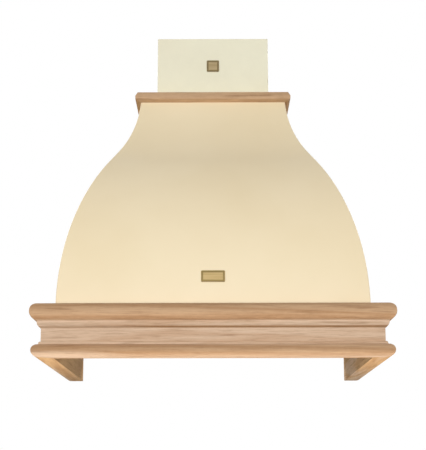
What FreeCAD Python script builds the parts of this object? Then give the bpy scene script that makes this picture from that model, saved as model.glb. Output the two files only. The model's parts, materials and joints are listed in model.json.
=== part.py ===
"""Wall-mounted bell-shaped extractor hood with beech trims.

A painted sheet-steel bell hangs on the wall, with a U-shaped beech moulding round its foot,
a small beech trim round its neck and a painted two-part chimney cover above. Inside are the
grease filters, lamps, switches, centrifugal blower, outlet collar and wiring box.

Millimetres. +X is right, +Y points into the wall and +Z is up. The origin is the centre of
the four wall fixing holes, in the wall plane.
"""
import FreeCAD
import Part
import math
import os

os.makedirs("parts", exist_ok=True)

V = FreeCAD.Vector
X_AXIS = V(1, 0, 0)
Y_AXIS = V(0, 1, 0)
Z_AXIS = V(0, 0, 1)
HALF_TURN = 180
FULL_TURN = 360

past = 1.0                    # how far a cutting shape runs past the face it opens

# ---- overall ----
hood_width = 600.0            # over the side rails' outermost edges
hood_depth = 470.0            # wall to the outermost edge of the front rail
fixings_above_frame = 280.0   # from the frame's bottom edge up to the centre of the wall holes
sheet = 1.0                   # steel of the bell, pan and chimney

# ---- beech moulding frame ----
rail_height = 88.0
rail_thickness = 37.5
top_bead_radius = 12.5
top_bead_neck = 11.5          # how far in the hollow under the top bead goes
hollow_height = 16.0          # from the top bead's middle down to the hollow's end
hollow_middle_inset = 2.0
hollow_middle_drop = 9.6
ovolo_reach = 0.9             # how far the curves above and below the fascia swell and sag
ovolo_sag = 1.2
cove_reach = 1.1
cove_sag = 0.4
fascia_inset = 17.7           # flat middle face, in from the outermost edge
fascia_top = 47.5
fascia_bottom = 25.5
step_inset = 15.4             # small square step under the fascia
step_depth = 0.3
low_bead_radius = 10.4
low_bead_inset = 3.5
tongue_thickness = 4.0        # loose tongue in each front mitre
tongue_length = 18.0
tongue_height = 40.0

# ---- bell ----
skirt_bottom = 50.0           # all heights are above the frame's bottom edge
bend_start = 84.0
neck_bottom = 508.0
neck_top = 525.9
neck_half_width = 137.3
neck_depth = 235.4
side_belly = 0.7515           # lower arc, as a share of the one arc that would reach the neck
side_waist = 0.327            # upper, hollow arc, the same way
front_belly = 0.732
front_waist = 0.4975
plate_flange = 12.0           # folded edge of the top plate, inside the neck

# ---- neck trim, also beech ----
trim_bevel = 4.0              # rise of the lower bevel
trim_projection = 10.0
trim_face = 6.4
trim_lean_width = 0.35
trim_top_width = 6.1

# ---- chimney ----
chimney_half_width = 108.3
chimney_depth = 190.0
chimney_height = 128.0
chimney_screw_length = 8.0
chimney_screw_rear = 25.0     # rear pair, in from the wall
chimney_screw_front = 28.5    # front pair, in from the cover's front face
chimney_foot = 14.0           # inward flange that stands on the top plate
sleeve_gap = 0.5
sleeve_drop = 2.0             # sleeve's top edge below the outer cover's
sleeve_foot_gap = 5.0         # sleeve's bottom edge above the foot flange
sleeve_lip = 10.0             # inward fold along the sleeve's rear edges

# ---- brass plates ----
low_plate_width = 40.3
low_plate_height = 20.0
low_plate_level = 137.5
high_plate_width = 24.0
high_plate_height = 23.5
high_plate_level = 598.0
badge_thickness = 1.2
badge_border = 1.4
badge_rise = 0.5
badge_corner = 2.0
badge_glue = 0.15             # between the low plate and the curved steel

# ---- wall fixings ----
wall_hole_radius = 4.0
wall_spacing_x = 260.0
wall_spacing_z = 220.0
doubler_size = 44.0
doubler_thickness = 3.0

# ---- screws ----
screw_radius = 2.0
screw_head_radius = 3.8
screw_head_height = 2.2
screw_end = 2.0               # tip beyond the last sheet it holds
frame_screw_length = 22.0
frame_screw_level = 75.0


# ---- bottom pan ----
pan_level = 60.0              # underside of the pan
pan_flange = 9.0              # upturned edge against the skirt
pan_opening_flange = 10.0     # upturned edge beside each filter
pan_rear_band = 45.0          # pan metal behind the openings
pan_side_band = 16.0          # and beside them
pan_screw_height = 5.5        # above the pan's underside
pan_screw_length = 16.0

# ---- grease filters ----
filter_thickness = 9.0
filter_gap = 1.5              # round the sides and front
filter_rear_gap = 2.6         # room for the rear corner to turn
filter_divider = 13.0         # pan metal between the two openings
filter_bar = 12.0
filter_bar_wall = 1.0
filter_groove = 6.0
mesh_pitch = 17.0
mesh_bar = 4.0
hinge_pin_radius = 2.0
hinge_pin_gap = 0.05
hinge_pin_reach = 2.0         # beyond the pan's upturned edge

# ---- filter latches ----
latch_width = 24.0
latch_length = 14.0
latch_thickness = 2.0
latch_nose = 1.2              # snap nose beyond the filter's front edge
latch_travel = 5.5
latch_gap = 0.3
latch_grip_width = 18.0
latch_grip_thickness = 3.0
latch_grip_inset = 4.0        # from the filter's front edge
latch_grip_drop = 4.5
latch_house_wall = 2.0

# ---- lamps ----
lamp_inset = 71.5             # from the skirt's inside face to a lamp's middle
lamp_filter_gap = 13.4        # bezel's rim to the filter opening
front_strip_middle = 43.0     # from the skirt's inside face back to the lamps and switches
lamp_bezel_radius = 35.0
lamp_sleeve_radius = 30.0
lamp_sleeve_wall = 2.0
lamp_sleeve_height = 15.0
lamp_bezel_lip = 1.5
lens_thickness = 3.0
lamp_body_height = 24.0
lamp_body_wall = 1.5

# ---- switches ----
button_count = 5
button_pitch = 26.0
button_width = 16.0
button_depth = 12.0
button_proud = 4.0
button_flange = 1.5
button_flange_thickness = 1.5
button_stem = 7.0
button_stem_top = 7.0         # stem's end above the pan's underside
button_gap = 0.3
button_travel = 3.0
switch_panel_width = 156.0
switch_panel_depth = 34.0
switch_panel_thickness = 1.5
switch_panel_overlap = 8.0    # panel beyond the pan's opening, each side
switch_box_height = 22.0
switch_box_wall = 2.0

# ---- blower ----
scroll_width = 120.0          # inside, along X
scroll_throat = 120.0         # inside, along Y
scroll_wall_gap = 35.0        # scroll's rear wall in from the wall plane
scroll_axis_height = 270.0
scroll_small_radius = 90.0           # radius at the tongue
scroll_large_radius = 130.0          # radius where it meets the throat
scroll_arcs = 4               # arcs that make up the spiral
scroll_flange_width = 11.0
scroll_flange_thickness = 2.0
inlet_radius = 64.0
inlet_ring_width = 8.0
inlet_ring_depth = 6.0
inlet_ring_wall = 1.5
impeller_radius = 80.0
impeller_blade = 12.0         # width of the ring of blades
impeller_blade_inset = 1.0    # blade's edges in from the ring's
impeller_blade_wall = 0.8
impeller_blade_turn = 28.0
impeller_blades = 30
impeller_side_gap = 8.0
impeller_plate = 1.5
impeller_hub_radius = 12.0
impeller_hub_length = 22.0
shaft_radius = 4.0
shaft_gap = 0.05
shaft_depth = 40.0            # into the motor
hub_nut_radius = 7.0
hub_nut_length = 6.0
shaft_end = 2.0               # beyond the nut
motor_radius = 45.0
motor_length = 60.0
motor_boss_radius = 14.0
motor_flange_radius = 56.0
motor_flange_thickness = 3.0
motor_screw_circle = 50.5
motor_screws = 4
motor_screw_turn = 45.0
hanger_thickness = 2.0
hanger_length = 110.0         # along the throat's side, in from the wall
hanger_foot = 24.0
hanger_height = 56.0
hanger_level = 395.0
hanger_screw_length = 8.0

# ---- outlet ----
duct_radius = 60.0
duct_wall = 2.0
duct_rise = 48.0              # above the collar's flange
duct_flange_thickness = 2.5
duct_clear = 1.0              # top plate's hole beyond the collar's inside
flap_level = 26.0             # flap pin above the collar's flange
flap_thickness = 1.5
flap_gap = 1.0
flap_ledge = 2.5
flap_ledge_height = 2.0
flap_seat_gap = 0.3
flap_pin_radius = 1.5
flap_pin_gap = 0.06
flap_knuckle_radius = 3.2
flap_knuckles = 4

# ---- wiring ----
gland_x = 83.0
gland_y = -60.0
gland_hole_radius = 3.6
gland_thread_radius = 5.5
gland_body_radius = 7.0
gland_nut_radius = 8.0
gland_body_height = 9.0
gland_thread_length = 11.0
gland_nut_thickness = 3.0
wiring_box_inset = 80.5       # from the skirt's outside face to the box's middle
wiring_box_level = 205.0
wiring_box_width = 56.0
wiring_box_height = 64.0
wiring_box_depth = 34.0
wiring_box_wall = 2.0
wiring_lid_thickness = 2.0
capacitor_inset = 77.5        # from the skirt's outside face
capacitor_radius = 15.0
capacitor_length = 56.0
capacitor_clip_wall = 1.2
capacitor_clip_width = 12.0
capacitor_clip_foot = 24.0
terminal_width = 34.0
terminal_height = 16.0
terminal_depth = 14.0


def level(height):
    """Height above the frame's bottom edge as a Z value."""
    return height - fixings_above_frame


def block(x_low, x_high, y_low, y_high, h_low, h_high):
    corner = V(x_low, y_low, level(h_low))
    return Part.makeBox(x_high - x_low, y_high - y_low, h_high - h_low, corner)


def rod(x, y, height, axis, radius, length):
    return Part.makeCylinder(radius, length, V(x, y, level(height)), axis)


def front_plane(across, height):
    return V(across, 0, level(height))


def side_plane(along, height):
    return V(0, along, level(height))


def path_face(start, steps, place):
    """Face inside a closed outline. A step is one point for a line, or two for an arc."""
    edges = []
    here = start
    for step in steps:
        if len(step) == 1:
            edges.append(Part.LineSegment(place(*here), place(*step[0])).toShape())
        else:
            edges.append(Part.Arc(place(*here), place(*step[0]), place(*step[1])).toShape())
        here = step[-1]
    edges.append(Part.LineSegment(place(*here), place(*start)).toShape())
    return Part.Face(Part.Wire(edges))


def plan_prism(corners, h_low, h_high):
    points = [V(x, y, level(h_low)) for x, y in corners]
    outline = Part.makePolygon(points + points[:1])
    return Part.Face(outline).extrude(Z_AXIS * (h_high - h_low))


def mirrored(shape):
    return shape.mirror(V(0, 0, 0), X_AXIS)


def save(name, *solids):
    shape = solids[0] if len(solids) == 1 else Part.makeCompound(list(solids))
    shape.exportStep("parts/" + name + ".step")


def on_circle(centre, radius, degrees):
    turn = math.radians(degrees)
    return (centre[0] + radius * math.cos(turn), centre[1] + radius * math.sin(turn))


def screw(x, y, height, axis, length):
    """Pan-head screw whose head's underside is at the point and whose shank runs along axis."""
    head = rod(x, y, height, axis * -1, screw_head_radius, screw_head_height)
    return head.fuse(rod(x, y, height, axis, screw_radius, length))


half_width = hood_width / 2
skirt_half_width = half_width - rail_thickness
skirt_depth = hood_depth - rail_thickness


# ---- beech moulding frame ----
def moulding(reach):
    """Rail section. reach(inset, height) gives its points; inset is from the outermost edge."""
    bead = (top_bead_radius, rail_height - top_bead_radius)
    hollow_end = bead[1] - hollow_height
    bead_side = (0.0, bead[1])
    bead_mid = on_circle(bead, top_bead_radius, 135)
    under_mid = (hollow_middle_inset, bead[1] - hollow_middle_drop)
    neck = (top_bead_neck, hollow_end)
    ovolo_mid = (top_bead_neck + ovolo_reach, (hollow_end + fascia_top) / 2 - ovolo_sag)
    low = (low_bead_inset + low_bead_radius, low_bead_radius)
    low_top = on_circle(low, low_bead_radius, 90)
    low_side = on_circle(low, low_bead_radius, HALF_TURN)
    low_bottom = (low[0], 0.0)
    cove_mid = (step_inset - cove_reach,
                (fascia_bottom - step_depth + low_top[1]) / 2 - cove_sag)
    steps = [
        [(top_bead_radius, rail_height)],
        [bead_mid, bead_side],
        [under_mid, neck],
        [ovolo_mid, (fascia_inset, fascia_top)],
        [(fascia_inset, fascia_bottom)],
        [(step_inset, fascia_bottom - step_depth)],
        [cove_mid, low_top],
        [low_side, low_bottom],
        [(rail_thickness, 0.0)],
    ]
    return path_face((rail_thickness, rail_height), steps, reach)


front_section = moulding(lambda inset, height: side_plane(inset - hood_depth, height))
left_section = moulding(lambda inset, height: front_plane(inset - half_width, height))

outer_left = (-half_width, -hood_depth)
outer_right = (half_width, -hood_depth)
inner_left = (-skirt_half_width, -skirt_depth)
inner_right = (skirt_half_width, -skirt_depth)

front_rail = front_section.extrude(X_AXIS * hood_width)
front_rail.translate(X_AXIS * -half_width)
front_rail = front_rail.common(
    plan_prism([outer_left, outer_right, inner_right, inner_left], -past, rail_height + past))
left_rail = left_section.extrude(Y_AXIS * hood_depth)
left_rail.translate(Y_AXIS * -hood_depth)
left_rail = left_rail.common(plan_prism(
    [outer_left, inner_left, (-skirt_half_width, 0), (-half_width, 0)],
    -past, rail_height + past))


def mitre_tongue():
    """Loose tongue across the left front mitre, square to it, behind the fascia."""
    middle = (rail_thickness - fascia_inset) / 2
    tongue = Part.makeBox(tongue_length, tongue_thickness, tongue_height,
                          V(-tongue_length / 2, -tongue_thickness / 2, 0))
    tongue.rotate(V(0, 0, 0), Z_AXIS, -45)
    tongue.translate(V(-skirt_half_width - middle, -skirt_depth - middle,
                       level((rail_height - tongue_height) / 2)))
    return tongue


left_tongue = mitre_tongue()
right_tongue = mirrored(left_tongue)
frame_screw_x = skirt_half_width - sheet
frame_screw_y = skirt_depth - sheet
frame_side_ys = [-skirt_depth * share for share in (0.2, 0.5, 0.8)]
frame_front_xs = [skirt_half_width * share for share in (-0.7, 0.0, 0.7)]


def fixing_set(make, x, y, side_ys, front_xs):
    """Left, right and front fixings through the skirt, each from make(x, y, axis)."""
    left = [make(-x, side_y, X_AXIS * -1) for side_y in side_ys]
    front = [make(front_x, -y, Y_AXIS * -1) for front_x in front_xs]
    return left, [mirrored(one) for one in left], front


def drill(shape, holes):
    """Shape with round holes through it. A hole is its own cylinder."""
    for hole in holes:
        shape = shape.cut(hole)
    return shape


frame_holes = fixing_set(
    lambda x, y, axis: rod(x, y, frame_screw_level, axis, screw_radius, frame_screw_length),
    frame_screw_x, frame_screw_y, frame_side_ys, frame_front_xs)
left_screws, right_screws, front_screws = fixing_set(
    lambda x, y, axis: screw(x, y, frame_screw_level, axis, frame_screw_length),
    frame_screw_x, frame_screw_y, frame_side_ys, frame_front_xs)
front_rail = drill(front_rail, frame_holes[2] + [left_tongue, right_tongue])
right_rail = drill(mirrored(left_rail), frame_holes[1] + [right_tongue])
left_rail = drill(left_rail, frame_holes[0] + [left_tongue])
save("frame_mitre_tongues", left_tongue, right_tongue)
save("frame_screws", *(left_screws + right_screws + front_screws))


# ---- bell ----
def bell_steps(edge, neck, belly, waist, inset):
    """Ogee from the skirt's top to the neck's foot, set in from the outside by inset."""
    across = edge - neck
    rise = neck_bottom - bend_start
    single = (across ** 2 + rise ** 2) / (2 * across)
    low_radius = belly * single
    high_radius = waist * single
    low = (edge - low_radius, bend_start)
    end = (neck - inset, neck_bottom)
    reach_high = high_radius + inset
    reach_both = low_radius + high_radius
    gap_x = end[0] - low[0]
    gap_z = end[1] - low[1]
    gap = math.hypot(gap_x, gap_z)
    share = (gap ** 2 + reach_both ** 2 - reach_high ** 2) / (2 * gap)
    off = math.sqrt(reach_both ** 2 - share ** 2)
    high = (low[0] + (share * gap_x + off * gap_z) / gap,
            low[1] + (share * gap_z - off * gap_x) / gap)
    lean = math.degrees(math.atan2(high[1] - low[1], high[0] - low[0]))
    top = math.degrees(math.atan2(end[1] - high[1], end[0] - high[0])) % FULL_TURN
    turn = on_circle(low, low_radius - inset, lean)
    return [
        [(edge - inset, bend_start)],
        [on_circle(low, low_radius - inset, lean / 2), turn],
        [on_circle(high, reach_high, (lean + HALF_TURN + top) / 2), end],
        [(neck - inset, neck_top)],
    ]


def both_sides(steps):
    """The same steps, then their mirror image back down the other side."""
    points = [list(step) for step in steps]
    back = [[(-steps[-1][-1][0], steps[-1][-1][1])]]
    for number in range(len(steps) - 1, 0, -1):
        here = steps[number - 1][-1]
        middle = [(-point[0], point[1]) for point in steps[number][:-1]]
        back.append(middle + [(-here[0], here[1])])
    return points + back


def across_solid(inset):
    """Everything between the two side curves, from the wall to past the front."""
    steps = both_sides(bell_steps(skirt_half_width, neck_half_width, side_belly, side_waist,
                                  inset))
    steps.append([(inset - skirt_half_width, skirt_bottom)])
    face = path_face((skirt_half_width - inset, skirt_bottom), steps, front_plane)
    return face.extrude(Y_AXIS * -(skirt_depth + past))


def along_solid(inset):
    """Everything between the wall and the front curve, wider than the hood."""
    steps = bell_steps(skirt_depth, neck_depth, front_belly, front_waist, inset)
    steps = [[(-point[0], point[1]) for point in step] for step in steps]
    steps.append([(0, neck_top)])
    steps.append([(0, skirt_bottom)])
    face = path_face((inset - skirt_depth, skirt_bottom), steps, side_plane)
    solid = face.extrude(X_AXIS * hood_width)
    solid.translate(X_AXIS * -half_width)
    return solid


across_outer = across_solid(0)
across_inner = across_solid(sheet)
along_outer = along_solid(0)
along_inner = along_solid(sheet)
wall_slab = block(-half_width, half_width, -sheet, 0, 0, neck_top + past)
room_slab = block(-half_width, half_width, -hood_depth, -sheet, 0, neck_top + past)
left_slab = block(-half_width, 0, -hood_depth, 0, 0, neck_top + past)

front_shell = along_outer.cut(along_inner).common(room_slab)
front_panel = drill(front_shell.common(across_outer), frame_holes[2])
side_shell = across_outer.cut(across_inner).common(along_inner).common(room_slab)
left_panel = drill(side_shell.common(left_slab), frame_holes[0])
right_panel = drill(side_shell.cut(left_slab), frame_holes[1])

wall_points = [(side * wall_spacing_x / 2, fixings_above_frame + rise * wall_spacing_z / 2)
               for side in (-1, 1) for rise in (-1, 1)]
wall_holes = [rod(x, -doubler_thickness - sheet - past, height, Y_AXIS, wall_hole_radius,
                  doubler_thickness + sheet + 2 * past) for x, height in wall_points]
back_panel = drill(across_outer.common(wall_slab), wall_holes)
doublers = [drill(block(x - doubler_size / 2, x + doubler_size / 2,
                        -sheet - doubler_thickness, -sheet,
                        height - doubler_size / 2, height + doubler_size / 2), wall_holes)
            for x, height in wall_points]
save("wall_doublers", *doublers)

# ---- neck trim ----
trim_steps = [
    [(-trim_projection, neck_bottom + trim_bevel)],
    [(-trim_projection - trim_lean_width, neck_bottom + trim_bevel + trim_face)],
    [(-trim_top_width, neck_top + sheet)],
    [(0, neck_top + sheet)],
]


def trim_section(shift, place):
    steps = [[(point[0] - shift, point[1]) for point in step] for step in trim_steps]
    return path_face((-shift, neck_bottom), steps, place)


trim_reach = trim_projection + trim_lean_width
trim_outer_x = neck_half_width + trim_reach
trim_outer_y = neck_depth + trim_reach
trim_low = neck_bottom - past
trim_high = neck_top + sheet + past
trim_front = trim_section(neck_depth, side_plane).extrude(X_AXIS * (2 * trim_outer_x))
trim_front.translate(X_AXIS * -trim_outer_x)
trim_front = trim_front.common(plan_prism(
    [(-trim_outer_x, -trim_outer_y), (trim_outer_x, -trim_outer_y),
     (neck_half_width, -neck_depth), (-neck_half_width, -neck_depth)], trim_low, trim_high))
trim_left = trim_section(neck_half_width, front_plane).extrude(Y_AXIS * -trim_outer_y)
trim_left = trim_left.common(plan_prism(
    [(-trim_outer_x, -trim_outer_y), (-neck_half_width, -neck_depth),
     (-neck_half_width, 0), (-trim_outer_x, 0)], trim_low, trim_high))
save("neck_trim_front", trim_front)
save("neck_trim_left", trim_left)
save("neck_trim_right", mirrored(trim_left))

# ---- outlet position, needed by the top plate ----
throat_back = -scroll_wall_gap
throat_front = throat_back - scroll_throat
duct_y = (throat_back + throat_front) / 2
plate_top = neck_top + sheet
flange_half = scroll_throat / 2 + sheet + scroll_flange_width
duct_screw_reach = scroll_throat / 2 + sheet + scroll_flange_width / 2
duct_screw_top = plate_top + duct_flange_thickness
duct_screw_length = duct_flange_thickness + sheet + scroll_flange_thickness + screw_end
duct_screw_places = [(x * duct_screw_reach, duct_y + y * duct_screw_reach)
                     for x in (-1, 1) for y in (-1, 1)]
duct_screw_holes = [rod(x, y, duct_screw_top, Z_AXIS * -1, screw_radius, duct_screw_length)
                    for x, y in duct_screw_places]
blower_screws = [screw(x, y, duct_screw_top, Z_AXIS * -1, duct_screw_length)
                 for x, y in duct_screw_places]

# ---- chimney ----
chimney_top = plate_top + chimney_height


def u_cover(half, depth, low, high):
    """Three-sided cover of one sheet, open to the wall."""
    outside = block(-half, half, -depth, 0, low, high)
    return outside.cut(block(sheet - half, half - sheet, sheet - depth, past,
                             low - past, high + past))


foot_outer = block(-chimney_half_width, chimney_half_width, -chimney_depth, 0,
                   plate_top, plate_top + sheet)
foot_inner = block(chimney_foot - chimney_half_width, chimney_half_width - chimney_foot,
                   chimney_foot - chimney_depth, past, plate_top - past,
                   plate_top + sheet + past)
chimney_cover = u_cover(chimney_half_width, chimney_depth, plate_top, chimney_top)
chimney_cover = chimney_cover.fuse(foot_outer.cut(foot_inner))
foot_middle = chimney_foot / 2 + sheet / 2
chimney_screw_places = [(side * (chimney_half_width - foot_middle), y)
                        for side in (-1, 1)
                        for y in (chimney_screw_front - chimney_depth, -chimney_screw_rear)]
chimney_screw_holes = [rod(x, y, plate_top + sheet, Z_AXIS * -1, screw_radius,
                           chimney_screw_length) for x, y in chimney_screw_places]
chimney_cover = drill(chimney_cover, chimney_screw_holes)
save("chimney_cover", chimney_cover)
save("chimney_screws", *[screw(x, y, plate_top + sheet, Z_AXIS * -1, chimney_screw_length)
                         for x, y in chimney_screw_places])

sleeve_half = chimney_half_width - sheet - sleeve_gap
sleeve_low = plate_top + sheet + sleeve_foot_gap
sleeve_high = chimney_top - sleeve_drop
sleeve = u_cover(sleeve_half, chimney_depth - sheet - sleeve_gap, sleeve_low, sleeve_high)
lip = block(sleeve_half - sleeve_lip, sleeve_half, -sheet, 0, sleeve_low, sleeve_high)
sleeve = sleeve.fuse([lip, mirrored(lip)]).removeSplitter()
save("chimney_sleeve", sleeve)

# ---- top plate of the bell ----
top_plate = block(-neck_half_width, neck_half_width, -neck_depth, 0, neck_top, plate_top)
fold_outer = block(sheet - neck_half_width, neck_half_width - sheet, sheet - neck_depth, -sheet,
                   neck_top - plate_flange, neck_top)
fold_inner = block(2 * sheet - neck_half_width, neck_half_width - 2 * sheet,
                   2 * sheet - neck_depth, -2 * sheet, neck_top - plate_flange - past,
                   neck_top)
top_plate = top_plate.fuse(fold_outer.cut(fold_inner))
duct_hole = rod(0, duct_y, neck_top - past, Z_AXIS, duct_radius - duct_wall + duct_clear,
                sheet + 2 * past)
gland_hole = rod(gland_x, gland_y, neck_top - past, Z_AXIS, gland_thread_radius,
                 sheet + 2 * past)
top_plate = drill(top_plate,
                  duct_screw_holes + chimney_screw_holes + [duct_hole, gland_hole])
save("canopy_top_plate", top_plate)


# ---- brass plates ----
def badge(width, height):
    """Blank plate with rounded corners and a raised border, its back at Y = 0."""
    def slab(inset, thickness):
        body = Part.makeBox(width - 2 * inset, thickness, height - 2 * inset,
                            V(inset - width / 2, -thickness, inset - height / 2))
        upright = [edge for edge in body.Edges
                   if abs(edge.tangentAt(edge.FirstParameter).y) > 0.99]
        return body.makeFillet(badge_corner - inset, upright)
    plate = slab(0, badge_thickness + badge_rise)
    recess = slab(badge_border, badge_rise)
    recess.translate(Y_AXIS * -badge_thickness)
    return plate.cut(recess)


belly_radius = front_belly * ((skirt_depth - neck_depth) ** 2
                              + (neck_bottom - bend_start) ** 2) / (2 * (skirt_depth - neck_depth))
badge_lean = math.asin((low_plate_level - bend_start) / belly_radius)
badge_y = skirt_depth - belly_radius * (1 - math.cos(badge_lean))
low_plate = badge(low_plate_width, low_plate_height)
low_plate.translate(Y_AXIS * (low_plate_height ** 2 / (8 * belly_radius)))
low_plate.rotate(V(0, 0, 0), X_AXIS, -math.degrees(badge_lean))
low_plate.translate(side_plane(-badge_y, low_plate_level))
low_plate = low_plate.cut(along_outer)
low_plate.translate(Y_AXIS * -badge_glue)
save("lower_nameplate", low_plate)
high_plate = badge(high_plate_width, high_plate_height)
high_plate.translate(side_plane(-chimney_depth, high_plate_level))
save("upper_nameplate", high_plate)

# ---- bottom pan ----
pan_top = pan_level + sheet
inside_x = skirt_half_width - sheet
inside_y = skirt_depth - sheet
strip_y = front_strip_middle - inside_y
opening_rear = -sheet - pan_rear_band
opening_front = strip_y + lamp_bezel_radius + lamp_filter_gap
opening_near = filter_divider / 2
opening_far = inside_x - pan_side_band
filter_rear = opening_rear - filter_rear_gap
filter_front = opening_front + filter_gap
filter_near = opening_near + filter_gap
filter_far = opening_far - filter_gap
filter_width = filter_far - filter_near
filter_depth = filter_rear - filter_front
lamp_x = inside_x - lamp_inset
hinge_y = filter_rear - filter_thickness / 2
hinge_level = pan_level + filter_thickness / 2

pan_screw_level = pan_level + pan_screw_height
pan_screw_x = inside_x - sheet
pan_screw_y = inside_y - sheet
pan_side_ys = [-inside_y * share for share in (0.15, 0.85)]
pan_front_xs = [inside_x * share for share in (-0.5, 0.5)]
pan_screws = fixing_set(
    lambda x, y, axis: screw(x, y, pan_screw_level, axis, pan_screw_length),
    pan_screw_x, pan_screw_y, pan_side_ys, pan_front_xs)
pan_holes = fixing_set(
    lambda x, y, axis: rod(x, y, pan_screw_level, axis, screw_radius, pan_screw_length),
    pan_screw_x, pan_screw_y, pan_side_ys, pan_front_xs)
save("pan_screws", *(pan_screws[0] + pan_screws[1] + pan_screws[2]))
front_rail = drill(front_rail, pan_holes[2])
left_rail = drill(left_rail, pan_holes[0])
right_rail = drill(right_rail, pan_holes[1])
front_panel = drill(front_panel, pan_holes[2])
left_panel = drill(left_panel, pan_holes[0])
right_panel = drill(right_panel, pan_holes[1])
save("frame_front_rail", front_rail)
save("frame_left_rail", left_rail)
save("frame_right_rail", right_rail)
save("canopy_front_panel", front_panel)
save("canopy_left_panel", left_panel)
save("canopy_right_panel", right_panel)

pan = block(-inside_x, inside_x, -inside_y, -sheet, pan_level, pan_top + pan_flange)
pan = pan.cut(block(sheet - inside_x, inside_x - sheet, sheet - inside_y, -2 * sheet,
                    pan_top, pan_top + pan_flange + past))
opening = block(opening_near, opening_far, opening_front, opening_rear,
                pan_level - past, pan_top + past)
for side in (-1, 1):
    for x in (opening_near - sheet, opening_far):
        edge = block(x, x + sheet, opening_front, opening_rear, pan_top,
                     pan_top + pan_opening_flange)
        pan = pan.fuse(edge if side > 0 else mirrored(edge))
    pan = pan.cut(opening if side > 0 else mirrored(opening))
    pan = pan.cut(rod(side * lamp_x, strip_y, pan_level - past, Z_AXIS, lamp_sleeve_radius,
                      sheet + 2 * past))
pan = pan.cut(rod(-opening_far - 2 * sheet, hinge_y, hinge_level, X_AXIS,
                  hinge_pin_radius + hinge_pin_gap, 2 * opening_far + 4 * sheet))
switch_opening_x = switch_panel_width / 2 - switch_panel_overlap
switch_opening_y = switch_panel_depth / 2 - switch_panel_overlap
pan = pan.cut(block(-switch_opening_x, switch_opening_x, strip_y - switch_opening_y,
                    strip_y + switch_opening_y, pan_level - past, pan_top + past))
pan = drill(pan, pan_holes[0] + pan_holes[1] + pan_holes[2])
save("filter_pan", pan)

# ---- grease filters and their catches ----
filter_top = pan_level + filter_thickness
filter_middle = (filter_near + filter_far) / 2
latch_low = pan_top + latch_gap
latch_high = latch_low + latch_thickness
latch_half = latch_width / 2
latch_back = filter_front + latch_length - latch_nose
pocket_back = latch_back + latch_travel + latch_gap
house_half = latch_half + latch_gap + latch_house_wall
house_back = pocket_back + latch_house_wall
grip_front = filter_front + latch_grip_inset
grip_back = grip_front + latch_grip_thickness


def inside_filter(inset, low, high):
    return block(filter_near + inset, filter_far - inset, filter_front + inset,
                 filter_rear - inset, low, high)


filter_frame = inside_filter(0, pan_level, filter_top)
filter_frame = filter_frame.cut(inside_filter(filter_bar, pan_level - past,
                                              filter_top + past))
filter_frame = filter_frame.cut(inside_filter(filter_bar_wall, pan_level + filter_bar_wall,
                                              filter_top - filter_bar_wall))
house = block(filter_middle - house_half, filter_middle + house_half, filter_front, house_back,
              pan_level, filter_top)
filter_frame = filter_frame.fuse(house)
filter_frame = filter_frame.cut(block(
    filter_middle - latch_half - latch_gap, filter_middle + latch_half + latch_gap,
    filter_front - past, pocket_back, latch_low - latch_gap, latch_high + latch_gap))
filter_frame = filter_frame.cut(block(
    filter_middle - latch_grip_width / 2 - latch_gap,
    filter_middle + latch_grip_width / 2 + latch_gap,
    grip_front - latch_gap, grip_back + latch_travel + latch_gap, pan_level - past, latch_low))
pin_reach = filter_gap + sheet + hinge_pin_reach
for x in (filter_near - pin_reach, filter_far - filter_bar_wall / 2):
    filter_frame = filter_frame.fuse(rod(x, hinge_y, hinge_level, X_AXIS, hinge_pin_radius,
                                         pin_reach + filter_bar_wall / 2))

mesh_inset = filter_bar - filter_groove
mesh_low = pan_level + filter_bar_wall
mesh_high = filter_top - filter_bar_wall
mesh_span_x = filter_width - 2 * mesh_inset
mesh_span_y = filter_depth - 2 * mesh_inset
holes_x = int((mesh_span_x - 2 * filter_groove) / mesh_pitch)
holes_y = int((mesh_span_y - 2 * filter_groove) / mesh_pitch)
mesh_start_x = filter_middle - holes_x * mesh_pitch / 2
mesh_start_y = (filter_front + filter_rear) / 2 - holes_y * mesh_pitch / 2


def rectangle(x_low, x_high, y_low, y_high, height):
    corners = [(x_low, y_low), (x_high, y_low), (x_high, y_high), (x_low, y_high)]
    points = [V(x, y, level(height)) for x, y in corners]
    return Part.Wire(Part.makePolygon(points + points[:1]))


mesh_wires = [rectangle(filter_near + mesh_inset, filter_far - mesh_inset,
                        filter_front + mesh_inset, filter_rear - mesh_inset, mesh_low)]
for column in range(holes_x):
    for row in range(holes_y):
        x = mesh_start_x + column * mesh_pitch + mesh_bar / 2
        y = mesh_start_y + row * mesh_pitch + mesh_bar / 2
        mesh_wires.append(rectangle(x, x + mesh_pitch - mesh_bar, y, y + mesh_pitch - mesh_bar,
                                    mesh_low))
mesh = Part.Face(mesh_wires, "Part::FaceMakerBullseye").extrude(Z_AXIS * (mesh_high - mesh_low))
mesh = mesh.cut(house)

latch = block(filter_middle - latch_half, filter_middle + latch_half,
              filter_front - latch_nose, latch_back, latch_low, latch_high)
latch = latch.fuse(block(
    filter_middle - latch_grip_width / 2, filter_middle + latch_grip_width / 2,
    grip_front, grip_back, pan_level - latch_grip_drop, latch_low)).removeSplitter()
for name, shape in (("frame", filter_frame), ("mesh", mesh), ("latch", latch)):
    save("right_filter_" + name, shape)
    save("left_filter_" + name, mirrored(shape))

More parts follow.
